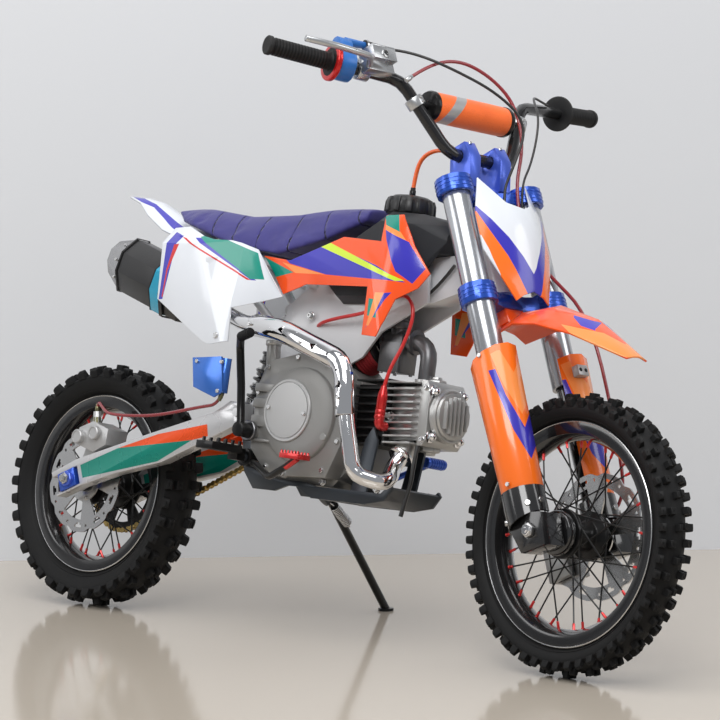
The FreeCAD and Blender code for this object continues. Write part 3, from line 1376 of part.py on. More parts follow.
FRONT_HOSE = [(44, -164, 842), (62, -120, 872), (74, -50, 890), (86, 10, 862), (94, 50, 810), (92, 52, 730),
              (60, 36, 650), (56, 42, 545), (58, 72, 500), (84, 134, 410), (80, 136, 190), (64, 138, 64),
              (-4, 118, 50), (-22, 76, 48), (-22, 76, 22.4)]
THROTTLE_CABLE = [(12, -210.8, 917.5), (18, -178, 916), (52, -136, 897), (84, -90, 862), (112, -10, 812), (118, 44, 756),
                  (84, 24, 690), (50, 8, 640), (46, 8, 560)]
KILL_WIRE = [(14.7, 236, 877.5), (34, 190, 872), (70, 130, 850), (112, 88, 780), (84, 74, 704), (56, 56, 660),
             (50, 54, 600)]


def front_brake_hose():
    return cord(FRONT_HOSE, 3.2)


def bar_cables():
    """Throttle cable from its horn and the kill switch's wire, both to behind the plate."""
    return Part.makeCompound([cord(THROTTLE_CABLE, 2.6), cord(KILL_WIRE, 2.2)])


# Assembly
def moved(shape, centre):
    shape = shape.copy()
    shape.translate(centre)
    return shape


def parked(front, rear):
    """The placement that leans the bike on its stand with both tyres on the floor."""
    lean = FreeCAD.Placement(ORIGIN, FreeCAD.Rotation(X_AXIS, -LEAN))
    lows = []
    for shape in (rear, front):
        lows.append(min((lean.multVec(v.Point) for v in shape.Vertexes), key=lambda q: q.z))
    pitch = math.degrees(math.atan2(lows[1].z - lows[0].z, lows[1].x - lows[0].x))
    level = FreeCAD.Placement(ORIGIN, FreeCAD.Rotation(Y_AXIS, pitch)).multiply(lean)
    floor = min(level.multVec(v.Point).z for shape in (rear, front) for v in shape.Vertexes)
    return FreeCAD.Placement(V(0, 0, -floor), FreeCAD.Rotation()).multiply(level)


REAR_TYRE = tyre("rear")
FRONT_TYRE = tyre("front")
PARK = parked(steered(moved(FRONT_TYRE, FRONT_AXLE)), moved(REAR_TYRE, REAR_AXLE))


def to_bike(point):
    return PARK.inverse().multVec(point)


def chassis():
    return {
        "frame": frame(),
        "cradle": fuse([cradle(), stand_bracket(to_bike)]),
        "swingarm": swingarm(),
        "rear_axle": rear_axle(),
        "shock": shock(),
        "crankcase": crankcase(),
        "cylinder": cylinder(),
        "cylinder_head": head(),
        "carburettor": carburettor(),
        "air_filter": air_filter(),
        "exhaust_pipe": exhaust_pipe(),
        "heat_shield": heat_shield(),
        "muffler": muffler(),
        "seat": seat(),
        "fuel_tank": fuel_tank(),
        "tank_cap": tank_cap(),
        "shrouds": both_sides(moulded_panel(SHROUD_OUTLINE, SHROUD_WALL)),
        "side_panels": both_sides(side_panel()),
        "rear_fender": rear_fender(),
        "footpegs": both_sides(footpeg()),
        "kick_starter": kick_starter(),
        "brake_pedal": brake_pedal(),
        "rear_master_cylinder": rear_master_cylinder(),
        "rear_caliper": rear_caliper(),
        "rear_brake_hose": rear_brake_hose(),
        "chain": chain(),
        "shift_lever": shift_lever(),
        "plug_lead": plug_lead(),
        "engine_hoses": engine_hoses(),
        "vent_hose": vent_hose(),
    }


def steering():
    return {
        "upper_clamp": upper_clamp(),
        "lower_clamp": lower_clamp(),
        "fork_tubes": both_sides(fork_tube()),
        "fork_sliders": both_sides(fork_slider()),
        "fork_guards": both_sides(fork_guard()),
        "front_axle": front_axle(),
        "handlebar": handlebar(),
        "bar_pad": bar_pad(),
        "grips": Part.makeCompound([grip(1), grip(-1)]),
        "throttle_housing": throttle_housing(),
        "brake_lever": brake_lever(),
        "number_plate": number_plate(),
        "mudguard": mudguard(),
        "front_caliper": front_caliper(),
        "front_brake_hose": front_brake_hose(),
        "bar_cables": bar_cables(),
    }


def rear_wheel():
    return {
        "rear_tyre": REAR_TYRE,
        "rear_wire_wheel": wire_wheel("rear", REAR_FLANGE_Y, REAR_DISC_Y - 5.0, CHAIN_Y + 4.0),
        "rear_disc": wave_disc(REAR_DISC_R, REAR_DISC_Y),
        "rear_sprocket": sprocket(REAR_TEETH, CHAIN_Y, HUB_END_R + JOINT_GAP),
    }


def front_wheel():
    return {
        "front_tyre": FRONT_TYRE,
        "front_wire_wheel": wire_wheel("front", FRONT_FLANGE_Y, -58.0, FRONT_DISC_Y + 5.0),
        "front_disc": wave_disc(FRONT_DISC_R, FRONT_DISC_Y),
    }


def placed_bodies():
    """Every node in bike axes with the steering turned, by the body that carries it."""
    return {
        "chassis": chassis(),
        "stand": {"side_stand": side_stand(to_bike), "stand_spring": stand_spring(to_bike)},
        "steering": {n: steered(from_fork(s)) for n, s in steering().items()},
        "rear_wheel": {n: moved(s, REAR_AXLE) for n, s in rear_wheel().items()},
        "front_wheel": {n: steered(moved(s, FRONT_AXLE)) for n, s in front_wheel().items()},
    }


def centred(world):
    """The move that puts the origin under the middle of the box, on the floor."""
    points = [p for s in world.values() for p in s.tessellate(0.5)[0]]
    mid_x = (min(p.x for p in points) + max(p.x for p in points)) / 2
    mid_y = (min(p.y for p in points) + max(p.y for p in points)) / 2
    return V(-mid_x, -mid_y, -min(p.z for p in points))


BODIES = placed_bodies()
WORLD = {n: s.transformed(PARK.toMatrix(), True) for body in BODIES.values() for n, s in body.items()}
SHIFT = centred(WORLD)


def main():
    os.makedirs("parts", exist_ok=True)
    print("shift", SHIFT.x, SHIFT.y, SHIFT.z)
    move = FreeCAD.Matrix()
    move.move(SHIFT)
    for name, shape in WORLD.items():
        final = shape.transformed(move, True)
        final.exportStep("parts/%s.step" % name)
        print("%-22s solids %3d  volume %9.0f  valid %s" % (
            name, len(final.Solids), final.Volume, final.isValid()))
    print("nodes", len(WORLD))


main()
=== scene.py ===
# %% [markdown]
# # A kids' dirt bike, dressed for the studio
# The bike comes from CAD as plain, exact solids. This file gives each of them the look of the real thing:
# moulded plastic, chrome, cast and machined metal, rubber and a padded seat. We begin by loading the solids,
# which stay where they are.

# %% Load the solids
import json
import math
import bpy
from mathutils import Matrix, Vector


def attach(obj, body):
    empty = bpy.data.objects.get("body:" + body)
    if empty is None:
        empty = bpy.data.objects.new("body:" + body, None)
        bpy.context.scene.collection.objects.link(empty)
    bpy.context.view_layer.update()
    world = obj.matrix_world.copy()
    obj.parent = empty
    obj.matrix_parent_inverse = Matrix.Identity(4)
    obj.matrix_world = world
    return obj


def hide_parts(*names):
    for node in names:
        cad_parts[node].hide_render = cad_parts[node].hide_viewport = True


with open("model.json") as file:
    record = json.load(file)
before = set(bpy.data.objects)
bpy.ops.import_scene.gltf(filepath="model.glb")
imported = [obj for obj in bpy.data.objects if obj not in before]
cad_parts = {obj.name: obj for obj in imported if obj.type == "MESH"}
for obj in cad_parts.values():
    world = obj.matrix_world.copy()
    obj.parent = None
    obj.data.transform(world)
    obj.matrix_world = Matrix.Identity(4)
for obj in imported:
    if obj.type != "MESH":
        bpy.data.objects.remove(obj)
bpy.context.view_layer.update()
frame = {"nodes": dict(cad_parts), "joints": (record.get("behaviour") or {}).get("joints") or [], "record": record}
nodes = frame["nodes"]

# %% [markdown]
# A parked bike leans and its bar is turned, so nothing on it is level. We don't model in tilted numbers:
# the joints say where the wheels and the steering are, and from them come two sets of axes. One belongs to
# the frame (X ahead, Y left, Z up), the other to the fork (F ahead, Y left, S up the legs), in millimetres.

# %% The bike's own axes
RAKE = math.radians(25.0)
AXLE_AHEAD, AXLE_UP = 55.4, 235.0
joints = {j["name"]: j for j in frame["joints"]}
rear_hub = Vector(joints["rear_wheel_spin"]["pos_m"])
front_hub = Vector(joints["front_wheel_spin"]["pos_m"])
left = Vector(joints["rear_wheel_spin"]["axis"]).normalized()
fork_left = Vector(joints["front_wheel_spin"]["axis"]).normalized()
up_fork = Vector(joints["steering"]["axis"]).normalized()
square = left.cross(up_fork).normalized()
ahead = (square * math.cos(RAKE) - up_fork * math.sin(RAKE)).normalized()
upward = ahead.cross(left)
fork_ahead = fork_left.cross(up_fork).normalized()


def axes_matrix(x, y, z, origin):
    turn = Matrix((x, y, z)).transposed().to_4x4()
    return Matrix.Translation(origin) @ turn @ Matrix.Scale(0.001, 4)


BIKE = axes_matrix(ahead, left, upward, rear_hub - upward * (AXLE_UP * 0.001))
FORK = axes_matrix(fork_ahead, fork_left, up_fork, front_hub - fork_ahead * AXLE_AHEAD * 0.001)
REAR_WHEEL = axes_matrix(ahead, left, upward, rear_hub)
FRONT_WHEEL = axes_matrix(fork_ahead, fork_left, up_fork, front_hub)
into_bike, into_fork = BIKE.inverted(), FORK.inverted()
print("lean", round(math.degrees(math.asin(-left.z)), 2), "deg")

# %% [markdown]
# ## Camera, floor and light
# The picture is taken with a long lens from the right, a little above the tank. A long lens keeps the two
# wheels nearly the same size. The studio is a pale floor that meets a pale wall, under large soft lamps.

# %% Camera
LENS = 162.14
CAMERA_AT = Vector((4.0168, -4.4146, 0.9511))
YAW, PITCH, ROLL = (math.radians(a) for a in (132.744, -4.348, 0.199))


def new_object(name, data):
    piece = bpy.data.objects.new(name, data)
    bpy.context.scene.collection.objects.link(piece)
    return piece


def looking(place, look):
    """Stand at a place and look along a line, as cameras and lamps do."""
    return Matrix.Translation(place) @ look.to_track_quat("-Z", "Y").to_matrix().to_4x4()


camera = new_object("camera", bpy.data.cameras.new("camera"))
camera.data.lens, camera.data.sensor_width = LENS, 36.0
look = Vector((math.cos(PITCH) * math.cos(YAW), math.cos(PITCH) * math.sin(YAW), math.sin(PITCH)))
camera.matrix_world = looking(CAMERA_AT, look) @ Matrix.Rotation(ROLL, 4, "Z")
bpy.context.scene.camera = camera
print("camera", tuple(round(c, 2) for c in camera.location))


# %% Floor and wall
def no_selection():
    if bpy.context.object and bpy.context.object.mode != "OBJECT":
        bpy.ops.object.mode_set(mode="OBJECT")
    bpy.ops.object.select_all(action="DESELECT")


def set_input(tree, socket, value):
    """Join an input to another node, or give it a number, a vector or a colour."""
    if isinstance(value, bpy.types.NodeSocket):
        tree.links.new(value, socket)
    elif socket.type == "RGBA":
        socket.default_value = (*value, 1.0)
    else:
        socket.default_value = value


def new_node(tree, kind, inputs=None, **settings):
    node = tree.nodes.new("ShaderNode" + kind)
    for key, value in settings.items():
        setattr(node, key, value)
    for key, value in (inputs or {}).items():
        set_input(tree, node.inputs[key], value)
    return node


def new_material(name, color, roughness, metallic=0.0):
    material = bpy.data.materials.new(name)
    material.use_nodes = True
    shader = material.node_tree.nodes["Principled BSDF"]
    for key, value in (("Base Color", color), ("Roughness", roughness), ("Metallic", metallic)):
        set_input(material.node_tree, shader.inputs[key], value)
    return material, material.node_tree, shader


def backdrop(name, paint, location, rotation=(0, 0, 0)):
    no_selection()
    bpy.ops.mesh.primitive_plane_add(size=24, location=location, rotation=rotation)
    sheet = bpy.context.object
    sheet.name = name
    sheet.data.materials.append(paint)


WALL_TURN = math.radians(50.9)
floor_paint, _, floor_shader = new_material("floor_tiles", (0.53, 0.47, 0.395), 0.10)
floor_shader.inputs["Specular IOR Level"].default_value = 0.42
wall_paint, wall_tree, wall_shader = new_material("wall_paint", (0.67, 0.685, 0.71), 0.9)
# The wall can be seen through from its back, so that a view from behind shows the bike.
one_sided = new_node(wall_tree, "MixShader", {
    0: new_node(wall_tree, "NewGeometry").outputs["Backfacing"], 1: wall_shader.outputs[0],
    2: new_node(wall_tree, "BsdfTransparent").outputs[0]})
wall_tree.links.new(one_sided.outputs[0], wall_tree.nodes["Material Output"].inputs["Surface"])
backdrop("floor", floor_paint, (0, 0, 0))
backdrop("wall", wall_paint, (-0.702, 0.692, 11.99), (math.radians(90), 0, WALL_TURN))


# %% Soft lamps
def soft_lamp(name, place, aim, size, power):
    lamp = new_object(name, bpy.data.lights.new(name, "AREA"))
    lamp.data.shape = "RECTANGLE"
    lamp.data.size, lamp.data.size_y = size
    lamp.data.energy = power
    lamp.matrix_world = looking(place, Vector(aim) - Vector(place))


soft_lamp("key lamp", (2.2, -3.4, 3.4), (0.0, 0.0, 0.5), (2.4, 1.6), 92)
soft_lamp("top lamp", (0.9, -1.1, 4.0), (0.0, 0.0, 0.4), (3.0, 3.0), 92)
soft_lamp("rear lamp", (-2.2, -3.2, 2.4), (0.0, 0.0, 0.6), (1.6, 2.4), 32)
soft_lamp("front lamp", (3.6, 1.6, 2.4), (0.3, 0.0, 0.6), (1.6, 2.4), 32)
world = bpy.data.worlds.new("studio")
bpy.context.scene.world = world
world.use_nodes = True
world.node_tree.nodes["Background"].inputs["Color"].default_value = (0.92, 0.95, 1.0, 1.0)
world.node_tree.nodes["Background"].inputs["Strength"].default_value = 0.34
bpy.context.scene.view_settings.view_transform = "Standard"
print("stage set,", len(bpy.data.lights), "lamps")

# %% [markdown]
# ## Finishes
# Real surfaces are never one flat colour. Three effects come back on nearly all of them, so each is built
# once as a node group: small-scale grain that breaks up the shine, dust that lies on what faces up, and the
# side of a line, from which every printed stripe and panel on the plastic is put together.

# %% Node helpers
def math_node(tree, operation, a, b, clamp=False):
    return new_node(tree, "Math", {0: a, 1: b}, operation=operation, use_clamp=clamp).outputs[0]


def mixed(tree, share, a, b):
    return new_node(tree, "Mix", {0: share, 6: a, 7: b}, data_type="RGBA").outputs[2]


def object_place(tree):
    return new_node(tree, "TexCoord").outputs["Object"]


def new_group(name, inputs, outputs):
    """A node group with its inner ends: what is given to it and what it makes."""
    group = bpy.data.node_groups.new(name, "ShaderNodeTree")
    for way, sockets in (("INPUT", inputs), ("OUTPUT", outputs)):
        for title, kind in sockets.items():
            group.interface.new_socket(title, in_out=way, socket_type="NodeSocket" + kind)
    return group, group.nodes.new("NodeGroupInput").outputs, group.nodes.new("NodeGroupOutput").inputs


# %% Group: grain
grain, given, made = new_group("Grain", dict(Vector="Vector", Scale="Float", Base="Float", Spread="Float"),
                               dict(Height="Float", Roughness="Float"))
fine = new_node(grain, "TexNoise", {"Vector": given["Vector"], "Scale": given["Scale"], "Detail": 4.0})
broad = new_node(grain, "TexNoise", {"Vector": given["Vector"], "Scale": 14.0, "Detail": 3.0})
centred = math_node(grain, "SUBTRACT", broad.outputs["Fac"], 0.5)
spread = math_node(grain, "MULTIPLY", centred, given["Spread"])
set_input(grain, made["Roughness"], math_node(grain, "ADD", spread, given["Base"]))
set_input(grain, made["Height"], fine.outputs["Fac"])

# %% Group: dust on what faces up, and wear on sharp edges
DUST = (0.30, 0.27, 0.23)
wear, given, made = new_group("Dust and wear", dict(Color="Color", Dust="Float", Wear="Float", Bare="Color"),
                              dict(Color="Color"))
geometry = new_node(wear, "NewGeometry").outputs
facing = new_node(wear, "SeparateXYZ", {0: geometry["Normal"]})
patches = new_node(wear, "TexNoise", {"Vector": object_place(wear), "Scale": 22.0, "Detail": 5.0}).outputs["Fac"]
up_share = math_node(wear, "MULTIPLY", math_node(wear, "MAXIMUM", facing.outputs["Z"], 0.0), given["Dust"])
dusty = math_node(wear, "MULTIPLY", up_share, patches, True)
edges = math_node(wear, "MULTIPLY", math_node(wear, "SUBTRACT", geometry["Pointiness"], 0.53), 9.0, True)
worn = math_node(wear, "MULTIPLY", math_node(wear, "MULTIPLY", edges, patches), given["Wear"], True)
with_wear = mixed(wear, worn, given["Color"], given["Bare"])
set_input(wear, made["Color"], mixed(wear, dusty, with_wear, DUST))

# %% Group: the side of a line
line_side, given, made = new_group("Side of a line", dict(Vector="Vector", Normal="Vector", Offset="Float",
                                                          Mask="Float"), dict(Mask="Float"))
dot = new_node(line_side, "VectorMath", {0: given["Vector"], 1: given["Normal"]}, operation="DOT_PRODUCT")
beyond = math_node(line_side, "SUBTRACT", dot.outputs["Value"], given["Offset"])
crisp = math_node(line_side, "ADD", math_node(line_side, "MULTIPLY", beyond, 4.0), 0.5, True)
set_input(line_side, made["Mask"], math_node(line_side, "MULTIPLY", crisp, given["Mask"]))


def placed_in(tree, axes):
    """Object coordinates turned into the bike's or the fork's own millimetres."""
    where, rotation, scale = axes.inverted().decompose()
    return new_node(tree, "Mapping", {"Vector": object_place(tree), "Location": where,
                                      "Rotation": rotation.to_euler(), "Scale": scale}).outputs["Vector"]


def anticlockwise(corners):
    area = sum(a[0] * b[1] - b[0] * a[1] for a, b in zip(corners, corners[1:] + corners[:1]))
    return corners if area > 0 else corners[::-1]


def printed(tree, vector, corners, flat=(0, 2)):
    """A mask that is 1 inside a convex outline drawn on two of the axes."""
    corners = anticlockwise(list(corners))
    mask = 1.0
    for (a, b), (c, d) in zip(corners, corners[1:] + corners[:1]):
        normal = Vector((b - d, c - a)).normalized()
        whole = [0.0, 0.0, 0.0]
        whole[flat[0]], whole[flat[1]] = normal
        mask = new_node(tree, "Group", {"Vector": vector, "Normal": whole, "Offset": normal.dot(Vector((a, b))),
                                        "Mask": mask}, node_tree=line_side).outputs["Mask"]
    return mask


def finish(name, color, roughness=0.4, metallic=0.0, grain_size=400.0, bump=0.02, spread=0.1, dust=0.05,
           edge_wear=0.15, bare=(0.5, 0.5, 0.5), coat=0.0, prints=(), axes=None, flat=(0, 2)):
    """A material with printed panels, grain, dust and wear; prints are (outline, colour) pairs."""
    material, tree, shader = new_material(name, color, roughness, metallic)
    shade = color
    if prints:
        vector = placed_in(tree, axes)
        for corners, tint in prints:
            shade = mixed(tree, printed(tree, vector, corners, flat), shade, tint)
    aged = new_node(tree, "Group", {"Color": shade, "Dust": dust, "Wear": edge_wear, "Bare": bare}, node_tree=wear)
    grains = new_node(tree, "Group", {"Vector": object_place(tree), "Scale": grain_size, "Base": roughness,
                                      "Spread": spread}, node_tree=grain)
    set_input(tree, shader.inputs["Base Color"], aged.outputs["Color"])
    set_input(tree, shader.inputs["Roughness"], grains.outputs["Roughness"])
    if bump:
        bumps = new_node(tree, "Bump", {"Strength": bump, "Distance": 0.001, "Height": grains.outputs["Height"]})
        set_input(tree, shader.inputs["Normal"], bumps.outputs["Normal"])
    shader.inputs["Coat Weight"].default_value = coat
    shader.inputs["Coat Roughness"].default_value = 0.08
    return material


# %% [markdown]
# The colours below are the bike's own: bright orange and white plastic with violet, green and blue panels,
# blue anodised clamps, black rims, and grey cast engine cases. Each gets the roughness of its real surface.

# %% Plain finishes
ORANGE, VIOLET, GREEN, WHITE = (0.93, 0.088, 0.006), (0.034, 0.028, 0.44), (0.0, 0.27, 0.20), (0.74, 0.77, 0.82)
PALE_ORANGE, LEG_ORANGE, BLACK = (0.97, 0.30, 0.07), (0.97, 0.17, 0.008), (0.008, 0.008, 0.009)
LIME, RED = (0.62, 0.80, 0.03), (0.62, 0.012, 0.012)
cast = dict(grain_size=1100, bump=0.12)
anodised = dict(coat=0.4, bump=0.01)
slick = dict(coat=0.3, bump=0.0)
rubber = finish("tyre_rubber", (0.0065, 0.0067, 0.0072), 0.62, grain_size=900, bump=0.10, dust=0.03, edge_wear=0.08,
                bare=(0.02, 0.02, 0.021))
black_metal = finish("black_metal", (0.0055, 0.0055, 0.006), 0.30, 0.2, coat=0.2, edge_wear=0.05)
black_gloss = finish("black_gloss", BLACK, 0.14, coat=0.7, bump=0.0, edge_wear=0.05)
slate = finish("slate_metal", (0.030, 0.037, 0.047), 0.34, 0.4)
white_frame = finish("white_frame", (0.70, 0.71, 0.73), 0.26, coat=0.5, bump=0.01)
steel = finish("steel", (0.55, 0.55, 0.55), 0.26, 1.0, grain_size=600, bump=0.01)
dark_steel = finish("dark_steel", (0.18, 0.18, 0.19), 0.35, 1.0)
chrome = finish("chrome", (0.80, 0.80, 0.81), 0.06, 1.0, bump=0.0, spread=0.04, dust=0.02, edge_wear=0.0)
case_grey = finish("case_grey", (0.257, 0.254, 0.246), 0.40, 0.45, edge_wear=0.35, **cast)
head_silver = finish("head_silver", (0.50, 0.50, 0.49), 0.34, 0.7, **cast)
fin_black = finish("fin_black", (0.014, 0.014, 0.015), 0.42, 0.2, **cast)
caliper_grey = finish("caliper_grey", (0.45, 0.45, 0.45), 0.36, 0.45, **cast)
carb_grey = finish("carb_grey", (0.16, 0.16, 0.165), 0.36, 0.7, grain_size=900, bump=0.1)
blue_metal = finish("blue_metal", (0.016, 0.085, 0.52), 0.24, 0.55, grain_size=800, bare=(0.25, 0.35, 0.7), **anodised)
housing_blue = finish("housing_blue", (0.012, 0.135, 0.46), 0.34, bump=0.01)
blue_light = finish("blue_light", (0.035, 0.17, 0.64), 0.26, 0.5, **anodised)
blue_pale = finish("blue_pale", (0.07, 0.135, 0.66), 0.30, 0.45, grain_size=800, coat=0.3, bump=0.01,
                   bare=(0.3, 0.45, 0.8))
gold_chain = finish("gold_chain", (0.56, 0.40, 0.14), 0.28, 0.95, dust=0.15)
red_metal = finish("red_metal", RED, 0.26, 0.5, **anodised)
olive_metal = finish("olive_metal", (0.20, 0.19, 0.10), 0.3, 0.9)
fork_silver = finish("fork_silver", (0.50, 0.51, 0.54), 0.22, 0.85, grain_size=300, bump=0.0)
bar_grey = finish("bar_grey", (0.020, 0.020, 0.022), 0.22, 0.6, **slick)
lever_silver = finish("lever_silver", (0.52, 0.53, 0.54), 0.28, 0.85)
tank_plastic = finish("tank_plastic", (0.024, 0.0258, 0.03), 0.42, grain_size=1500, bump=0.2)
cap_plastic = finish("cap_plastic", (0.010, 0.010, 0.011), 0.36, grain_size=1500, bump=0.1)
grip_rubber = finish("grip_rubber", (0.0072, 0.0072, 0.0078), 0.5, grain_size=1200, bump=0.2)
hose_red = finish("hose_red", (0.24, 0.006, 0.014), 0.26, coat=0.5, bump=0.0)
hose_bright = finish("hose_bright", RED, 0.3, **slick)
hose_black = finish("hose_black", (0.010, 0.010, 0.010), 0.36, bump=0.0)
hose_orange = finish("hose_orange", (0.90, 0.13, 0.008), 0.3, **slick)
filter_red = finish("filter_red", (0.28, 0.008, 0.012), 0.75, grain_size=700, bump=0.6)
print("finishes", len(bpy.data.materials))

# %% [markdown]
# The plastic panels carry a printed film. On the real bike it is a vinyl sheet stuck on each panel; here the
# same shapes are drawn as outlines in the bike's own millimetres, so the film stays put on its panel. Only
# plain stripes and colour fields are drawn, with no word or mark on them.

# %% Printed finishes
SHROUD_FILM = [([(731, 764), (759, 769), (781, 732), (741, 747)], GREEN),
               ([(740, 747), (781, 734), (797, 719), (744, 737)], PALE_ORANGE),
               ([(745, 737), (803, 717), (841, 672), (821, 644), (787, 663)], VIOLET),
               ([(495, 679), (580, 712), (659, 694), (740, 672), (808, 645), (610, 653), (508, 671)], VIOLET),
               ([(571, 707), (789, 646), (806, 648), (602, 713)], LIME),
               ([(415, 689), (521, 655), (449, 639), (433, 660)], GREEN),
               ([(487, 673), (607, 653), (526, 654)], PALE_ORANGE),
               ([(733, 613), (756, 611), (760, 578), (736, 582)], GREEN),
               ([(771, 623), (786, 625), (736, 559)], VIOLET),
               ([(747, 624), (771, 624), (744, 564), (738, 564)], PALE_ORANGE)]
SIDE_FILM = [([(216, 719), (245, 711), (227, 588), (217, 587)], VIOLET),
             ([(237, 692), (250, 694), (229, 640), (225, 640)], RED),
             ([(226, 645), (230, 645), (227, 592), (224, 592)], RED),
             ([(243, 709), (256, 707), (437, 634), (428, 634)], RED),
             ([(280, 708), (307, 708), (449, 634), (437, 634)], VIOLET),
             ([(293, 710), (318, 719), (435, 686), (465, 637), (435, 636)], GREEN)]
FENDER_FILM = [([(-30, 800), (10, 797), (56, 784), (59, 776), (8, 790)], VIOLET),
               ([(56, 784), (129, 749), (132, 736), (59, 776)], VIOLET),
               ([(129, 749), (205, 716), (205, 706), (132, 736)], VIOLET)]
ARM_FILM = [([(26, 264), (124, 304), (318, 333), (235, 287), (37, 240)], GREEN),
            ([(124, 304), (227, 338), (352, 365), (358, 343), (318, 333)], ORANGE)]
GUARD_FILM = [([(60, 318), (72, 322), (104, 92), (92, 92)], PALE_ORANGE),
              ([(52, 290), (62, 290), (86, 96), (78, 96)], VIOLET),
              ([(16, 66), (66, 66), (120, 52), (120, 20), (-20, 20)], BLACK)]
MUD_FILM = [([(174, 355), (216, 325), (219, 306), (199, 322)], VIOLET),
            ([(217, 302), (229, 297), (227, 273)], VIOLET),
            ([(164, 339), (228, 299), (299, 219), (228, 262)], PALE_ORANGE)]
PLATE_FILM = []
for side in (-1, 1):
    PLATE_FILM += [([(84 * side, 608), (84 * side, 592), (8 * side, 415), (0, 415), (0, 470)], VIOLET),
                   ([(98 * side, 592), (84 * side, 592), (8 * side, 415), (45 * side, 415)], LEG_ORANGE)]
film = dict(coat=0.5, bump=0.008, edge_wear=0.03)
shroud_film = finish("shroud_film", ORANGE, 0.22, prints=SHROUD_FILM, axes=BIKE, **film)
side_film = finish("side_panel_film", WHITE, 0.22, prints=SIDE_FILM, axes=BIKE, **film)
fender_film = finish("fender_film", WHITE, 0.22, prints=FENDER_FILM, axes=BIKE, **film)
arm_film = finish("arm_film", (0.58, 0.58, 0.59), 0.28, 0.5, prints=ARM_FILM, axes=BIKE, **film)
guard_film = finish("guard_film", LEG_ORANGE, 0.22, prints=GUARD_FILM, axes=FORK, **film)
mud_film = finish("mudguard_film", ORANGE, 0.22, prints=MUD_FILM, axes=FORK, **film)
plate_film = finish("plate_film", WHITE, 0.22, prints=PLATE_FILM, axes=FORK, flat=(1, 2), **film)
for dark in (rubber, grip_rubber, black_metal, tank_plastic):
    dark.node_tree.nodes["Principled BSDF"].inputs["Specular IOR Level"].default_value = 0.22
print("printed finishes", len(bpy.data.materials))

# %% [markdown]
# ## Softened copies of the solids
# CAD edges are razor sharp and its round bars have flats. Real parts have small radii that catch the light.
# Each rigid solid is therefore copied, its loose triangles are joined into whole faces, the sharp edges get
# a small bevel, and what is meant to be round is shaded smooth. The copy stands in for the plain solid.

# %% Handling a piece
def only(piece):
    no_selection()
    piece.select_set(True)
    bpy.context.view_layer.objects.active = piece


def edit(piece, select="SELECT"):
    only(piece)
    bpy.ops.object.mode_set(mode="EDIT")
    bpy.ops.mesh.select_mode(type="VERT")
    bpy.ops.mesh.select_all(action=select)


def shown():
    bpy.ops.object.mode_set(mode="OBJECT")
    return bpy.context.object


def modified(piece, kind, **settings):
    """Add one modifier with its settings and apply it."""
    only(piece)
    step = piece.modifiers.new("step", kind)
    for key, value in settings.items():
        setattr(step, key, value)
    bpy.ops.object.modifier_apply(modifier="step")
    return piece


def rounded(piece, width, segments=2, angle=35):
    return modified(piece, "BEVEL", width=width, segments=segments, limit_method="ANGLE",
                    angle_limit=math.radians(angle))


def painted(piece, finish_used, place=None):
    """Give a piece one finish, and set it in its place where one is named."""
    piece.data.materials.clear()
    piece.data.materials.append(finish_used)
    if place:
        piece.data.transform(place)
    return piece


# %% A softened copy
FEET_BELOW, FEET_ROUND = 512, 0.015


def body_of_node(name):
    for body, members in frame["record"]["behaviour"]["bodies"].items():
        if name in members:
            return body


def round_feet(piece):
    """Round the lowest corners of the side panels while their edges are still single."""
    edit(piece, "DESELECT")
    shown()
    for v in piece.data.vertices:
        v.select = (into_bike @ v.co).z < FEET_BELOW
    bpy.ops.object.mode_set(mode="EDIT")
    bpy.ops.mesh.bevel(offset=FEET_ROUND, segments=5, affect="EDGES")
    shown()


def softened(name, finish_used, bevel, smooth):
    """A copy of one solid with joined faces, small bevels and smooth round sides."""
    piece = new_object(name + "_dressed", nodes[name].data.copy())
    edit(piece)
    bpy.ops.mesh.remove_doubles(threshold=0.00002)
    bpy.ops.mesh.dissolve_limited(angle_limit=math.radians(0.6))
    shown()
    if name == "side_panels":
        round_feet(piece)
    rounded(piece, bevel * 0.001, 2, smooth + 4)
    bpy.ops.object.shade_smooth_by_angle(angle=math.radians(smooth))
    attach(painted(piece, finish_used), body_of_node(name))
    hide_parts(name)
    return piece


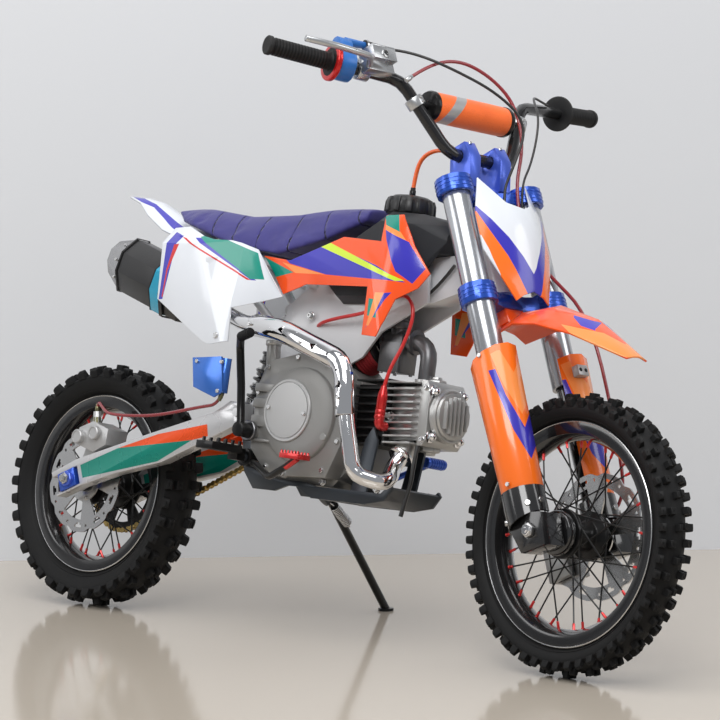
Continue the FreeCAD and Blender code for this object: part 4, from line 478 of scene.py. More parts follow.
SOFTENED = [
    # solid, finish, bevel in mm, and up to what angle its sides are one round surface
    ("frame", white_frame, 1.0, 32), ("cradle", slate, 1.0, 38), ("swingarm", arm_film, 1.6, 36),
    ("rear_axle", blue_metal, 0.8, 50), ("shock", white_frame, 1.0, 38), ("crankcase", case_grey, 1.4, 38),
    ("cylinder", fin_black, 0.5, 32), ("cylinder_head", head_silver, 0.6, 38), ("carburettor", carb_grey, 0.8, 38),
    ("exhaust_pipe", chrome, 0.6, 42), ("heat_shield", chrome, 0.4, 42), ("muffler", black_gloss, 1.2, 20),
    ("fuel_tank", tank_plastic, 4.0, 40), ("shrouds", shroud_film, 0.6, 24), ("side_panels", side_film, 0.6, 24),
    ("rear_fender", fender_film, 0.6, 40), ("footpegs", black_metal, 0.8, 32),
    ("kick_starter", black_metal, 0.6, 40), ("brake_pedal", black_metal, 0.6, 50),
    ("rear_master_cylinder", blue_light, 0.8, 40), ("rear_caliper", caliper_grey, 1.4, 40),
    ("shift_lever", black_metal, 0.6, 50), ("side_stand", black_metal, 0.6, 40), ("upper_clamp", blue_metal, 1.0, 32),
    ("lower_clamp", blue_metal, 1.0, 32), ("fork_tubes", fork_silver, 0.6, 32), ("fork_sliders", black_gloss, 1.2, 32),
    ("fork_guards", guard_film, 0.5, 45), ("front_axle", steel, 0.6, 32), ("handlebar", bar_grey, 0.4, 45),
    ("throttle_housing", housing_blue, 1.2, 40), ("brake_lever", lever_silver, 1.2, 50),
    ("number_plate", plate_film, 0.6, 40), ("mudguard", mud_film, 0.6, 40), ("front_caliper", caliper_grey, 1.2, 32),
]
dressed = {row[0]: softened(*row) for row in SOFTENED}
print("softened", len(dressed), "faces", sum(len(p.data.polygons) for p in dressed.values()))

# %% [markdown]
# ## The modelling bench
# Everything below is made as by hand: a primitive is shaped in edit mode, repeated as copies, joined, and at
# last set in its place on the bike. We work in millimetres in a piece's own axes, because a lug or a bolt is
# far easier to draw upright at the origin than tilted somewhere in the air.

# %% Place, join, copy
def between(p, q, roll=0.0):
    """Axes with their origin at p and Z towards q."""
    p, q = Vector(p), Vector(q)
    turn = (q - p).to_track_quat("Z", "Y").to_matrix().to_4x4()
    return Matrix.Translation(p) @ turn @ Matrix.Rotation(roll, 4, "Z")


def at(x, y, z):
    return Matrix.Translation((x, y, z))


def turn_by(degrees, axis):
    return Matrix.Rotation(math.radians(degrees), 4, axis)


def round_about(count, axis, start=0.0):
    """Even steps of a full turn about an axis."""
    return [Matrix.Rotation(2 * math.pi * (k + start) / count, 4, axis) for k in range(count)]


def moved(piece, place):
    piece.data.transform(place)
    return piece


def joined(pieces):
    no_selection()
    for p in pieces:
        p.select_set(True)
    bpy.context.view_layer.objects.active = pieces[0]
    if len(pieces) > 1:
        bpy.ops.object.join()
    return bpy.context.object


def copied(piece, places):
    """Copies of a piece, each with its own mesh in its place, joined into one."""
    twins = [moved(new_object(piece.name, piece.data.copy()), place) for place in places]
    bpy.data.objects.remove(piece)
    return joined(twins)


def pick_faces(piece, test, by="VERT"):
    """Open a piece in edit mode with those of its faces selected that pass a test.

    By "VERT" a face whose corners are all picked comes along; by "EDGE" it stays.
    """
    edit(piece, "DESELECT")
    bpy.ops.mesh.select_mode(type=by)
    shown()
    for face in piece.data.polygons:
        face.select = test(face)
    bpy.ops.object.mode_set(mode="EDIT")
    bpy.ops.mesh.select_mode(type="FACE")


def extruded(step):
    bpy.ops.mesh.extrude_region_move(TRANSFORM_OT_translate={"value": step})


def edges_pulled(step):
    bpy.ops.mesh.extrude_edges_move(TRANSFORM_OT_translate={"value": step})


def finished(piece, name, body, axes=BIKE, smooth=35, replaced=()):
    """Sets a piece in its place on the bike, turns its faces out and shades it."""
    if isinstance(piece, list):
        piece = joined(piece)
    piece.data.transform(axes)
    piece.name = name
    edit(piece)
    bpy.ops.mesh.normals_make_consistent(inside=False)
    shown()
    bpy.ops.object.shade_smooth_by_angle(angle=math.radians(smooth))
    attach(piece, body)
    if replaced:
        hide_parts(*replaced)
    print(name, len(piece.data.polygons), "faces")
    return piece


# %% Round pieces and blocks
def circle(sides, radius, location=(0, 0, 0), rotation=(0, 0, 0), fill="NOTHING"):
    no_selection()
    bpy.ops.mesh.primitive_circle_add(vertices=sides, radius=radius, location=location, rotation=rotation,
                                      fill_type=fill)
    bpy.ops.object.transform_apply(location=True, rotation=True, scale=True)
    return bpy.context.object


def turned(profile, sides=32, closed=False, turn=0.0):
    """A round piece about Z: one ring of edges extruded and resized through (radius, height) steps."""
    r, h = profile[0]
    edit(circle(sides, r, (0, 0, h), (0, 0, turn)))
    bpy.ops.mesh.select_mode(type="EDGE")
    if not closed:
        bpy.ops.mesh.edge_face_add()
    for r1, h1 in profile[1:]:
        edges_pulled((0, 0, h1 - h))
        bpy.ops.transform.resize(value=(r1 / r, r1 / r, 1), center_override=(0, 0, h1))
        r, h = r1, h1
    if closed:
        bpy.ops.mesh.select_all(action="SELECT")
        bpy.ops.mesh.remove_doubles(threshold=0.01)
    else:
        bpy.ops.mesh.edge_face_add()
    return shown()


def ring_of(profile, sides=96):
    """A closed ring: the profile comes back to its own start."""
    return turned(list(profile) + [profile[0]], sides, closed=True)


def block(size, centre=(0, 0, 0), bevel=0.8, taper=1.0, segments=1):
    """A block with broken edges; its top can be smaller than its foot."""
    no_selection()
    bpy.ops.mesh.primitive_cube_add(size=1, location=centre, scale=size)
    bpy.ops.object.transform_apply(location=True, rotation=True, scale=True)
    piece = bpy.context.object
    if taper != 1.0:
        edit(piece, "DESELECT")
        shown()
        for v in piece.data.vertices:
            v.select = v.co.z > centre[2]
        bpy.ops.object.mode_set(mode="EDIT")
        bpy.ops.transform.resize(value=(taper, taper, 1), center_override=centre)
        shown()
    edit(piece)
    bpy.ops.mesh.bevel(offset=bevel, segments=segments, affect="EDGES")
    return shown()


def hex_bolt(size):
    """A bolt head on its washer, standing on Z = 0."""
    washer = turned([(6.2, -1.0), (6.2, 0.9), (5.6, 1.3)], 16)
    head = turned([(4.6, 1.0), (4.6, 4.2), (3.9, 5.0), (2.2, 5.0), (2.0, 3.6)], 6)
    return painted(joined([washer, head]), steel, Matrix.Scale(size, 4))


def cap_screw(size):
    """A round screw head with a socket."""
    head = turned([(4.4, -1.0), (4.4, 3.0), (3.8, 3.8), (2.3, 3.8)], 16)
    top = max(head.data.polygons, key=lambda f: f.center.z).index
    pick_faces(head, lambda f: f.index == top)
    extruded((0, 0, -2.2))
    return painted(shown(), steel, Matrix.Scale(size, 4))


def spiral(radius, wire, pitch, turns, steps, sides):
    """A coil spring about Z, from a wire's circle and the Screw modifier."""
    piece = circle(sides, wire, (radius, 0, 0), (math.radians(90), 0, 0))
    modified(piece, "SCREW", screw_offset=pitch, iterations=turns, steps=steps, render_steps=steps,
             use_merge_vertices=False)
    edit(piece, "DESELECT")
    bpy.ops.mesh.select_mode(type="EDGE")
    bpy.ops.mesh.select_non_manifold()
    bpy.ops.mesh.edge_face_add()
    return shown()


def tube(points, radius, sides=12):
    """A smooth bent tube along a NURBS line through soft corners."""
    data = bpy.data.curves.new("run", "CURVE")
    data.dimensions = "3D"
    data.bevel_depth = radius
    data.bevel_resolution = max(0, sides // 4 - 1)
    data.resolution_u = 6
    data.use_fill_caps = True
    line = data.splines.new("NURBS")
    line.points.add(len(points) - 1)
    for point, place in zip(line.points, points):
        point.co = (*place, 1.0)
    line.order_u = 3
    line.use_endpoint_u = True
    only(new_object("run", data))
    bpy.ops.object.convert(target="MESH")
    return bpy.context.object


print("bench ready")

# %% [markdown]
# ## Tyres
# A motocross tyre is a smooth carcass with tall rubber blocks: a single block and a pair take turns across
# its middle, and a large block sits on each shoulder. The carcass is a ring turned from its section. One
# block is modelled with its small dimple and copied round, so that every row is the same.

# %% Tyre carcass and tread blocks
ON_AXLE = turn_by(-90, "X")
CROWN_DROP, LUG_OVER = 15.0, 2.0
WHEELS = {
    "rear": dict(tip=235.0, half=44.0, flange=171.6, seat=154.0, rim_half=27.0, lug=12.0, rows=38, flange_y=36.0,
                 ends=(-59.0, 59.0), disc_r=98.0, disc_y=-54.0, axes=REAR_WHEEL, body="rear_wheel"),
    "front": dict(tip=243.0, half=35.0, flange=192.2, seat=175.0, rim_half=24.0, lug=11.0, rows=54, flange_y=34.0,
                  ends=(-58.0, 56.0), disc_r=110.0, disc_y=51.0, axes=FRONT_WHEEL, body="front_wheel"),
}


def on_wheel(kind, made, title, smooth):
    """Finish a piece of a wheel, which stands in for the plain solid of that wheel."""
    w = WHEELS[kind]
    finished(made, f"{kind}_{title[0]}", w["body"], w["axes"], smooth, [f"{kind}_{title[1]}"])


def carcass(w):
    """The tyre's section from its crown to the bead, mirrored and turned."""
    crown, half, bead = w["tip"] - w["lug"], w["half"] - 3.0, w["rim_half"] - 3.5
    side = [(crown - CROWN_DROP * s * s, s * half) for s in (0.0, 0.3, 0.6, 0.85, 1.0)]
    shoulder, foot = crown - CROWN_DROP, w["flange"] + 2.0
    for share, swell in ((0.14, 2.0), (0.36, 4.0), (0.6, 4.4), (0.76, 3.4), (0.78, 4.6), (0.86, 4.0), (0.88, 2.0)):
        side.append((shoulder + (foot - shoulder) * share, half + (bead - half) * share + swell))
    side += [(foot, bead), (w["seat"] + 3.0, bead), (w["seat"] + 3.0, bead - 9.0)]
    return painted(ring_of(side + [(r, -y) for r, y in reversed(side[1:])], 108), rubber, ON_AXLE)


def tread_block(wide, long, tall):
    """One tapered block with a small square dimple in its top."""
    pick_faces(block((long, wide, tall), (0, 0, tall / 2), 0.7, 0.86), lambda f: f.normal.z > 0.9)
    bpy.ops.mesh.inset(thickness=min(wide, long) * 0.32)
    extruded((0, 0, -1.8))
    return painted(shown(), rubber)


def tread(w):
    crown, half = w["tip"] - w["lug"], w["half"] - 3.0
    pitch = 2 * math.pi / w["rows"]
    long = pitch * w["tip"] * 0.46
    plans = [
        # share of the half width, width, length, height over the lug's, lean in degrees, rows it stands in
        (0.16, 0.27, 1.0, 1.6, 4, 0), (0.50, 0.34, 1.05, 1.0, 14, 1),
        (0.88, 0.36, 1.12, 3.0, 37, 0), (0.88, 0.36, 1.12, 2.0, 34, 1),
    ]
    rows = []
    for share, wide, size, over, lean, odd in plans:
        for side in (1, -1):
            foot = at(0, side * share * half, crown - CROWN_DROP * share * share - 2.0)
            stand = foot @ turn_by(-side * lean, "X")
            spots = [Matrix.Rotation(pitch * (k + 0.13 * (side < 0)), 4, "Y") @ stand
                     for k in range(odd, w["rows"], 2)]
            rows.append(copied(tread_block(half * wide, long * size, w["lug"] + over), spots))
    return rows


for kind, w in WHEELS.items():
    tyre = joined([carcass(w)] + tread(w))
    widest = w["half"] + LUG_OVER
    for v in tyre.data.vertices:
        v.co.y = max(-widest, min(widest, v.co.y))
    on_wheel(kind, tyre, ("tyre_lugged", "tyre"), 38)

# %% [markdown]
# ## Wire wheels
# The wheel is a rim hung from its hub on thirty-six spokes, each pulled tight by a red nipple. The rim, the
# hub and its cover are turned; one spoke is drawn between two points and copied. A thin steel ring on each
# rim lip is partly a polished edge and partly a painted highlight of the glossy black flange.

# %% Rims and hubs
SPOKES, HUB_RADIUS = 36, 40.0


def rim(w):
    flange, half, seat = w["flange"], w["rim_half"], w["seat"]
    path = [(seat - 9.0, 0.0), (seat, half - 4.5), (flange - 1.0, half - 3.0), (flange, half - 1.2),
            (flange - 1.2, half), (seat + 4, half - 0.4), (seat - 4, half - 0.8), (seat - 9, half * 0.62),
            (seat - 14, half * 0.34), (seat - 15, 0.0)]
    mirrored = [(r, -y) for r, y in reversed(path) if y > 0.01]
    pieces = [painted(rounded(ring_of(path + mirrored, 108), 0.5, 2, 30), black_gloss)]
    # Steel rings on both lips: partly polished edges, partly a painted highlight of the glossy black flange.
    for side in (1, -1):
        polished_lip_and_highlight = [(flange - 2.6, side * (half - 0.5)), (flange - 1.0, side * (half + 0.5)),
               (flange + 0.4, side * (half - 0.4)), (flange - 1.4, side * (half - 1.4))]
        pieces.append(painted(ring_of(polished_lip_and_highlight, 108), steel))
    return moved(joined(pieces), ON_AXLE)


def hub(w):
    y, (low, high) = w["flange_y"], w["ends"]
    spool = [(9, low), (18, low), (18, -y - 6), (30, -y - 5), (42.5, -y - 3), (43, -y), (43, -y + 4), (40, -y + 6),
             (27, -y + 10), (23, -y + 18), (22, 0), (23, y - 18), (27, y - 10), (40, y - 6), (43, y - 4), (43, y),
             (42.5, y + 1), (30, y + 4), (18, y + 5), (18, high), (9, high)]
    return painted(rounded(turned(spool, 40), 0.4, 1, 40), black_metal, ON_AXLE)


def spokes(w):
    """Spokes and nipples between the hub's flanges and the rim's well."""
    well, y = w["seat"] - 13.0, w["flange_y"] - 2.5
    wires, nipples = [], []
    for k in range(SPOKES):
        side = 1 if k % 2 else -1
        lean = 1 if (k // 2) % 2 else -1
        at_rim = 2 * math.pi * k / SPOKES
        at_hub = at_rim + lean * math.radians(60)
        p = Vector((HUB_RADIUS * math.cos(at_hub), side * (y + lean * 2.0), HUB_RADIUS * math.sin(at_hub)))
        q = Vector((well * math.cos(at_rim), side * 4.0, well * math.sin(at_rim)))
        wires.append(between(p, q) @ Matrix.Diagonal((1, 1, (q - p).length, 1)))
        nipples.append(between(q, p))
    wire = painted(turned([(1.45, 0.0), (1.45, 0.5), (1.45, 1.0)], 8), black_metal)
    nipple = painted(turned([(3.4, -4.0), (3.4, 2.0), (2.5, 3.0), (2.5, 12.0), (2.0, 13.5)], 8), red_metal)
    return [copied(wire, wires), copied(nipple, nipples)]


for kind, w in WHEELS.items():
    cover = []
    if kind == "front":
        bell = turned([(20, -57.5), (30, -57.5), (36.5, -55), (38.5, -51), (39, -43), (38, -40)], 40)
        cover = [painted(rounded(bell, 0.6, 2, 30), black_gloss, ON_AXLE)]
    on_wheel(kind, [rim(w), hub(w)] + cover + spokes(w), ("wheel_laced", "wire_wheel"), 32)

# %% [markdown]
# ## Brake discs, sprocket and chain
# The discs are thin steel rings with a waved edge, slots that clear water, and arms to the hub. A flat ring
# of small faces is made first; its edge is pulled into waves, and the faces where the windows and slots
# are get deleted before the sheet is given its thickness.

# %% Flat rings with windows
BOLT_RING = 33


def flat_ring(radii, sides, gone, wave):
    """Bands of faces between radii, less the faces for which gone(angle, radius) is true."""
    piece = circle(sides, radii[0])
    edit(piece)
    bpy.ops.mesh.select_mode(type="EDGE")
    for before, after in zip(radii, radii[1:]):
        edges_pulled((0, 0, 0))
        bpy.ops.transform.resize(value=(after / before, after / before, 1), center_override=(0, 0, 0))
    shown()
    pick_faces(piece, lambda f: gone(math.atan2(f.center.y, f.center.x) % (2 * math.pi), f.center.length), "EDGE")
    bpy.ops.mesh.delete(type="FACE")
    shown()
    for v in piece.data.vertices:
        if v.co.length > radii[0] - 0.5:
            v.co *= wave(math.atan2(v.co.y, v.co.x))
    return piece


def thickened(piece, thick, bevel=0.4):
    modified(piece, "SOLIDIFY", thickness=thick, offset=0.0)
    return rounded(piece, bevel, 1, 50) if bevel else piece


def bolt_circle(count, height, start=0.0):
    return copied(hex_bolt(0.8), [turn @ at(BOLT_RING, 0, height) for turn in round_about(count, "Z", start)])


def disc(w):
    radius = w["disc_r"]
    band = radius - 24.0
    radii = [radius, radius - 5, radius - 9, radius - 14, radius - 18, band, band - 14, band - 30, 38, 30, 19]

    def gone(a, r):
        lobe, arm = (a / (2 * math.pi) * 10) % 1.0, (a / (2 * math.pi) * 5) % 1.0
        if radius - 14 < r < radius - 9:
            return 0.30 < lobe < 0.62 or 0.82 < lobe < 0.92
        return (radius - 18 < r < radius - 14 and 0.38 < lobe < 0.54) or (38 < r < band and 0.20 < arm < 0.80)
    ring = flat_ring(radii, 240, gone, lambda a: 1 - 0.045 * max(0.0, math.cos(a * 10)) ** 2)
    piece = joined([painted(thickened(ring, 3.4, 0.0), steel), bolt_circle(5, 1.7, 0.02)])
    flip = turn_by(180 if w["disc_y"] < 0 else 0, "X")
    return moved(piece, ON_AXLE @ at(0, 0, w["disc_y"]) @ flip)


for kind, w in WHEELS.items():
    on_wheel(kind, disc(w), ("disc_waved", "disc"), 30)

# %% Sprocket and chain
LINK, REAR_TEETH, FRONT_TEETH, CHAIN_Y = 12.7, 41, 14, 55.0
BIG, SMALL = (LINK / (2 * math.sin(math.pi / n)) for n in (REAR_TEETH, FRONT_TEETH))
REAR_CENTRE, OUTPUT = Vector((0, 0, AXLE_UP)), Vector((474.0, 0.0, 412.0))


def toothed(teeth, radius, bore, arms):
    """A sprocket cut from sheet, with windows between its arms where it has any."""
    tip = radius + 2.6
    radii = [tip, radius - 3.4, radius - 16, 42, bore] if arms else [tip, radius - 3.4, bore]

    def gone(a, r):
        return arms > 0 and 42 < r < radius - 16 and 0.22 < (a / (2 * math.pi) * arms) % 1.0 < 0.78

    def wave(a):
        return 1 - 6.0 / tip * (0.5 + 0.5 * math.cos(a * teeth)) ** 0.7
    return thickened(flat_ring(radii, teeth * 4, gone, wave), 4.4, 0.3)


big = painted(toothed(REAR_TEETH, BIG, 19, 6), black_metal)
sprocket = moved(joined([big, bolt_circle(6, 2.2)]), ON_AXLE @ at(0, 0, CHAIN_Y))
finished(sprocket, "rear_sprocket_toothed", "rear_wheel", REAR_WHEEL, 30, ["rear_sprocket"])


def link_plate(y, waist, radius):
    """A figure-of-eight plate: two eyes with a waist between them."""
    outline = [(LINK / 2 + radius * math.cos(a), radius * math.sin(a)) for a in
               (math.radians(d) for d in (-120, -70, -20, 20, 70, 120))]
    ring = outline + [(0, waist)] + [(-x, z) for x, z in reversed(outline)] + [(0, -waist)]
    piece = circle(len(ring), radius, fill="NGON")
    for v, (x, z) in zip(piece.data.vertices, ring):
        v.co = (x, z, 0)
    return moved(thickened(piece, 1.3, 0.25), at(0, y, 0) @ turn_by(90, "X"))


def chain_link(wide, rollers):
    parts = [link_plate(side * wide, 2.7, 5.1) for side in (1, -1)]
    r, half = (3.9, wide - 0.4) if rollers else (1.9, wide + 1.0)
    for x in (LINK / 2, -LINK / 2):
        parts.append(moved(turned([(r, -half), (r, half)], 10), at(x, 0, 0) @ ON_AXLE))
    return painted(joined(parts), gold_chain)


def chain_pins():
    """Where the pins lie, at even steps round both sprockets."""
    span = OUTPUT - REAR_CENTRE
    tilt, wrap = math.atan2(span.z, span.x), math.acos((BIG - SMALL) / span.length)
    up, down = tilt + wrap, tilt - wrap

    def on(c, r, angle):
        return Vector((c.x + r * math.cos(angle), CHAIN_Y, c.z + r * math.sin(angle)))

    def straight(p, q):
        return [p + (q - p) * (k / 200) for k in range(200)]
    path = straight(on(REAR_CENTRE, BIG, up), on(OUTPUT, SMALL, up))
    path += [on(OUTPUT, SMALL, up + (down - up) * k / 120) for k in range(120)]
    path += straight(on(OUTPUT, SMALL, down), on(REAR_CENTRE, BIG, down))
    path += [on(REAR_CENTRE, BIG, down + (up - 2 * math.pi - down) * k / 300) for k in range(300)]
    lengths = [(q - p).length for p, q in zip(path, path[1:] + path[:1])]
    count = 2 * round(sum(lengths) / LINK / 2)
    step, pins, run = sum(lengths) / count, [], 0.0
    for p, q, d in zip(path, path[1:] + path[:1], lengths):
        while len(pins) < count and len(pins) * step <= run + d:
            pins.append(p + (q - p) * ((len(pins) * step - run) / d))
        run += d
    return pins


pins = chain_pins()
spots = []
for p, q in zip(pins, pins[1:] + pins[:1]):
    along = (q - p).normalized()
    turn = Matrix((along, Vector((0, 1, 0)), along.cross(Vector((0, 1, 0))))).transposed().to_4x4()
    spots.append(Matrix.Translation((p + q) / 2) @ turn)
links = [copied(chain_link(4.9, False), spots[0::2]), copied(chain_link(3.5, True), spots[1::2])]
small = painted(toothed(FRONT_TEETH, SMALL, 8, 0), dark_steel, at(OUTPUT.x, CHAIN_Y, OUTPUT.z) @ ON_AXLE)
finished(links + [small], "chain_links", body_of_node("chain"), BIKE, 30, ["chain"])
print("pins", len(pins))

# %% [markdown]
# ## Seat
# The seat is foam under a stretched cover, so no edge on it is sharp. The solid is copied a little larger,
# remeshed into even faces and blown up as cloth, with its underside held on the rails. The welded seams of the
# gripper cover come last: the skin is cut along slanting planes, and each cut is pressed in as a dark groove.

# %% Cover cloth
def cloth_finish(name, color, dots=900.0, strength=0.5):
    """A worn cover with a fine pattern of raised dots, whose low spots are darkened as painted shade."""
    material, tree, shader = new_material(name, color, 0.62)
    dotted = new_node(tree, "TexVoronoi", {"Vector": object_place(tree), "Scale": dots}).outputs["Distance"]
    broad = new_node(tree, "TexNoise", {"Vector": object_place(tree), "Scale": 18.0}).outputs["Fac"]
    worn_color, pit_shade_color = tuple(c * 1.7 + 0.008 for c in color), tuple(c * 0.4 for c in color)
    shade = mixed(tree, math_node(tree, "MULTIPLY", broad, 0.55), color, worn_color)
    # The low spots of the dot pattern are darkened: painted shade in the pits.
    pit_shade = math_node(tree, "SUBTRACT", 1.0, math_node(tree, "MULTIPLY", dotted, 1.6), True)
    bumps = new_node(tree, "Bump", {"Strength": strength, "Distance": 0.0006, "Height": dotted})
    for key, value in {
            "Base Color": mixed(tree, math_node(tree, "MULTIPLY", pit_shade, 0.35), shade, pit_shade_color),
            "Roughness": math_node(tree, "ADD", math_node(tree, "MULTIPLY", broad, 0.2), 0.46),
            "Normal": bumps.outputs["Normal"], "Sheen Weight": 0.25, "Sheen Roughness": 0.5}.items():
        set_input(tree, shader.inputs[key], value)
    return material


seat_cloth = cloth_finish("seat_cloth", (0.024, 0.019, 0.16))
seam_black = finish("seam_black", (0.010, 0.008, 0.030), 0.55, bump=0.0)

# %% Blow up the seat
SEAT_TRAVEL = 0.009
seat = new_object("seat_cover", nodes["seat"].data.copy())
edit(seat)
bpy.ops.mesh.remove_doubles(threshold=0.00002)
bpy.ops.mesh.normals_make_consistent(inside=False)
bpy.ops.transform.shrink_fatten(value=0.002)
shown()
seat.data.remesh_voxel_size = 0.006
bpy.ops.object.voxel_remesh()
modified(seat, "SMOOTH", factor=0.5, iterations=4)
start = [v.co.copy() for v in seat.data.vertices]
held = seat.vertex_groups.new(name="held")
held.add([v.index for v in seat.data.vertices if v.normal.dot(upward) < -0.3], 1.0, "REPLACE")
puff = seat.modifiers.new("puff", "CLOTH")
puff.settings.use_pressure = True
puff.settings.uniform_pressure_force = 4.0
puff.settings.effector_weights.gravity = 0.0
puff.settings.vertex_group_mass = "held"
for number in range(1, 21):
    bpy.context.scene.frame_set(number)
bpy.ops.object.modifier_apply(modifier="puff")
bpy.context.scene.frame_set(1)
moved_most = 0.0
for v, was in zip(seat.data.vertices, start):
    step = v.co - was
    moved_most = max(moved_most, step.length)
    if step.length > SEAT_TRAVEL:
        v.co = was + step * (SEAT_TRAVEL / step.length)
print("seat swelled", round(moved_most * 1000, 1), "mm before the cap")
modified(seat, "SUBSURF", levels=1, render_levels=1)

# %% Seams and tail
SEAMS = [((262, 765), (280, 724)), ((323, 752), (337, 715)), ((392, 750), (401, 696)), ((475, 752), (479, 685)),
         ((545, 762), (562, 718)), ((612, 776), (628, 742))]
SEAM = 0.0014
TAIL_FROM, TAIL_SHARE = 184, 0.55
painted(seat, seat_cloth)
seat.data.materials.append(seam_black)
for (x0, z0), (x1, z1) in SEAMS:
    edit(seat)
    across = (ahead * (z1 - z0) - upward * (x1 - x0)).normalized()
    bpy.ops.mesh.bisect(plane_co=BIKE @ Vector((x0, 0, z0)), plane_no=across, use_fill=False)
    bpy.ops.mesh.select_mode(type="EDGE")
    bpy.ops.mesh.bevel(offset=SEAM, segments=1, affect="EDGES")
    seat.active_material_index = 1
    bpy.ops.object.material_slot_assign()
    bpy.ops.transform.shrink_fatten(value=-SEAM)
    shown()
for v in seat.data.vertices:
    c = into_bike @ v.co
    if c.x < TAIL_FROM:
        c.x = TAIL_FROM - (TAIL_FROM - c.x) * TAIL_SHARE
        v.co = BIKE @ c
only(seat)
bpy.ops.object.shade_smooth_by_angle(angle=math.radians(50))
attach(seat, body_of_node("seat"))
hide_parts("seat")
print("seat", len(seat.data.polygons), "faces")

# %% [markdown]
# ## Handlebar, pad and grips
# The foam pad on the crossbar is a soft roll under a tight cover with black end caps. The grips are rubber
# tubes with fine ribs and a wide flange, so both are turned from a profile with many small steps.

# %% Crossbar pad
BAR_END, BAR_TOP, BAR_FOOT = Vector((-33.2, 405.8, 903.4)), Vector((20.0, 152.0, 856.0)), Vector((26.0, 76.0, 721.0))
PAD_F, PAD_S, PAD_HALF, CLAMP_Y = 21.8, 815.0, 98.0, 128.9
STRIPE_Y, STRIPE_HALF, STRIPE_LEAN = -42.0, 13.0, -0.8
pad_cover = cloth_finish("pad_cover", (0.90, 0.14, 0.006), 500.0, 0.15)
roll = [(8.5, -PAD_HALF - 1), (20, -PAD_HALF), (24.5, -PAD_HALF + 2), (26.4, -PAD_HALF + 7), (26.8, -PAD_HALF + 20),
        (27.0, -40), (27.0, 0)]
pieces = [painted(turned(roll + [(r, -h) for r, h in reversed(roll[:-1])], 40), pad_cover)]
for side in (1, -1):
    cap = [(26.0, -10), (27.6, -9), (27.6, -3), (25.4, 1), (20.0, 2.4), (8.3, 2.4), (8.3, -1)]
    pieces.append(painted(turned([(r, side * (PAD_HALF + h)) for r, h in cap], 40), black_metal))
pieces.append(painted(turned([(8.0, -124), (8.0, -60), (8.0, 60), (8.0, 124)], 16), bar_grey))
pieces = [moved(joined(pieces), at(PAD_F, 0, PAD_S) @ ON_AXLE)]
rise = (BAR_TOP - BAR_FOOT).normalized()
out, tip = Vector((15, 0, 0)), Vector((16, 0, 0))
for side in (1, -1):
    centre = Vector((PAD_F, side * CLAMP_Y, PAD_S))
    along = Vector((rise.x, side * rise.y, rise.z))
    shell = rounded(turned([(11.3, -9), (17, -9), (17, 9), (11.3, 9)], 24), 0.8, 2, 40)
    pieces.append(painted(shell, lever_silver, between(centre, centre + along)))
    pieces.append(copied(hex_bolt(0.7), [between(centre + along * up + out, centre + along * up + tip)
                                         for up in (4, -5)]))
pad = joined(pieces)
for edge_y in (STRIPE_Y - STRIPE_HALF, STRIPE_Y + STRIPE_HALF):
    edit(pad)
    bpy.ops.mesh.bisect(plane_co=(PAD_F, edge_y, PAD_S), plane_no=(0, 1, STRIPE_LEAN), use_fill=False)
    shown()
pad.data.materials.append(caliper_grey)
for face in pad.data.polygons:
    c = face.center
    off_stripe = abs(c.y - STRIPE_Y + STRIPE_LEAN * (c.z - PAD_S))
    if off_stripe < STRIPE_HALF and pad.data.materials[face.material_index] == pad_cover:
        face.material_index = len(pad.data.materials) - 1
finished(pad, "bar_pad_roll", "steering", FORK, 40, ["bar_pad"])


# %% Grips
def on_bar(side):
    """Axes at one end of the bar, pointing inwards."""
    end = Vector((BAR_END.x, side * BAR_END.y, BAR_END.z))
    top = Vector((BAR_TOP.x, side * BAR_TOP.y, BAR_TOP.z))
    return between(end, end + (top - end).normalized() * 10)


ribs = [(9, -4.5), (15.5, -4.5), (17.2, -3), (17.2, 3), (15.6, 5)]
for k in range(17):
    h = 8 + k * 6.2
    ribs += [(14.9, h), (14.9, h + 1.2), (15.9, h + 1.8), (15.9, h + 4.6)]
ribs += [(15.4, 117), (17, 120), (31.5, 121), (33, 123.5), (31.5, 126.5), (14, 127)]
flange = rounded(turned([(13, 120.6), (33, 120.6), (34.2, 122), (34.2, 128), (32.6, 130), (13, 130)], 32), 0.5)
grips = [painted(turned(ribs, 32), grip_rubber, on_bar(side)) for side in (1, -1)]
finished(grips + [painted(flange, red_metal, on_bar(-1))], "ribbed_grips", "steering", FORK, 35, ["grips"])

# %% [markdown]
# ## Hoses and cables
# A brake hose never has a corner in it. Each run keeps the route of its solid, but is drawn as one smooth
# curve through soft corners, with crimped metal ends where it leaves its fitting.

# %% Smooth runs
def crimp(points, radius, finish_used):
    """A metal sleeve on the first few millimetres of a run."""
    sleeve = rounded(turned([(radius * 1.5, -1), (radius * 1.5, 9), (radius * 1.2, 11), (radius * 1.2, 15)], 12), 0.3)
    return painted(sleeve, finish_used, between(points[0], points[1]))


CAP_X, CAP_Z, CAP_TALL = 694.0, 781.0, 36.0
RUNS = [
    # node, axes, radius, finish, finish of its ends, points
    ("rear_brake_hose", BIKE, 3.2, hose_red, olive_metal,
     [(27.9, -74, 370.6), (27, -76, 392), (60, -92, 378), (90, -104, 366), (150, -106, 366), (230, -106, 372),
      (340, -106, 396), (385, -110, 402), (392, -110, 423.7)]),
    ("front_brake_hose", FORK, 3.2, hose_red, lever_silver,
     [(44, -164, 842), (62, -120, 872), (74, -50, 890), (86, 10, 862), (94, 50, 810), (92, 52, 730),
      (60, 36, 650), (56, 42, 545), (58, 72, 500), (84, 134, 410), (80, 136, 190), (64, 138, 64),
      (-4, 118, 50), (-22, 76, 48), (-22, 76, 22.4)]),
    ("vent_hose", BIKE, 4.0, hose_orange, black_metal,
     [(CAP_X, 0, CAP_Z + CAP_TALL + 0.3), (CAP_X, 0, 860), (706, 2, 893), (744, 6, 906), (790, 8, 892), (824, 6, 868)]),
]
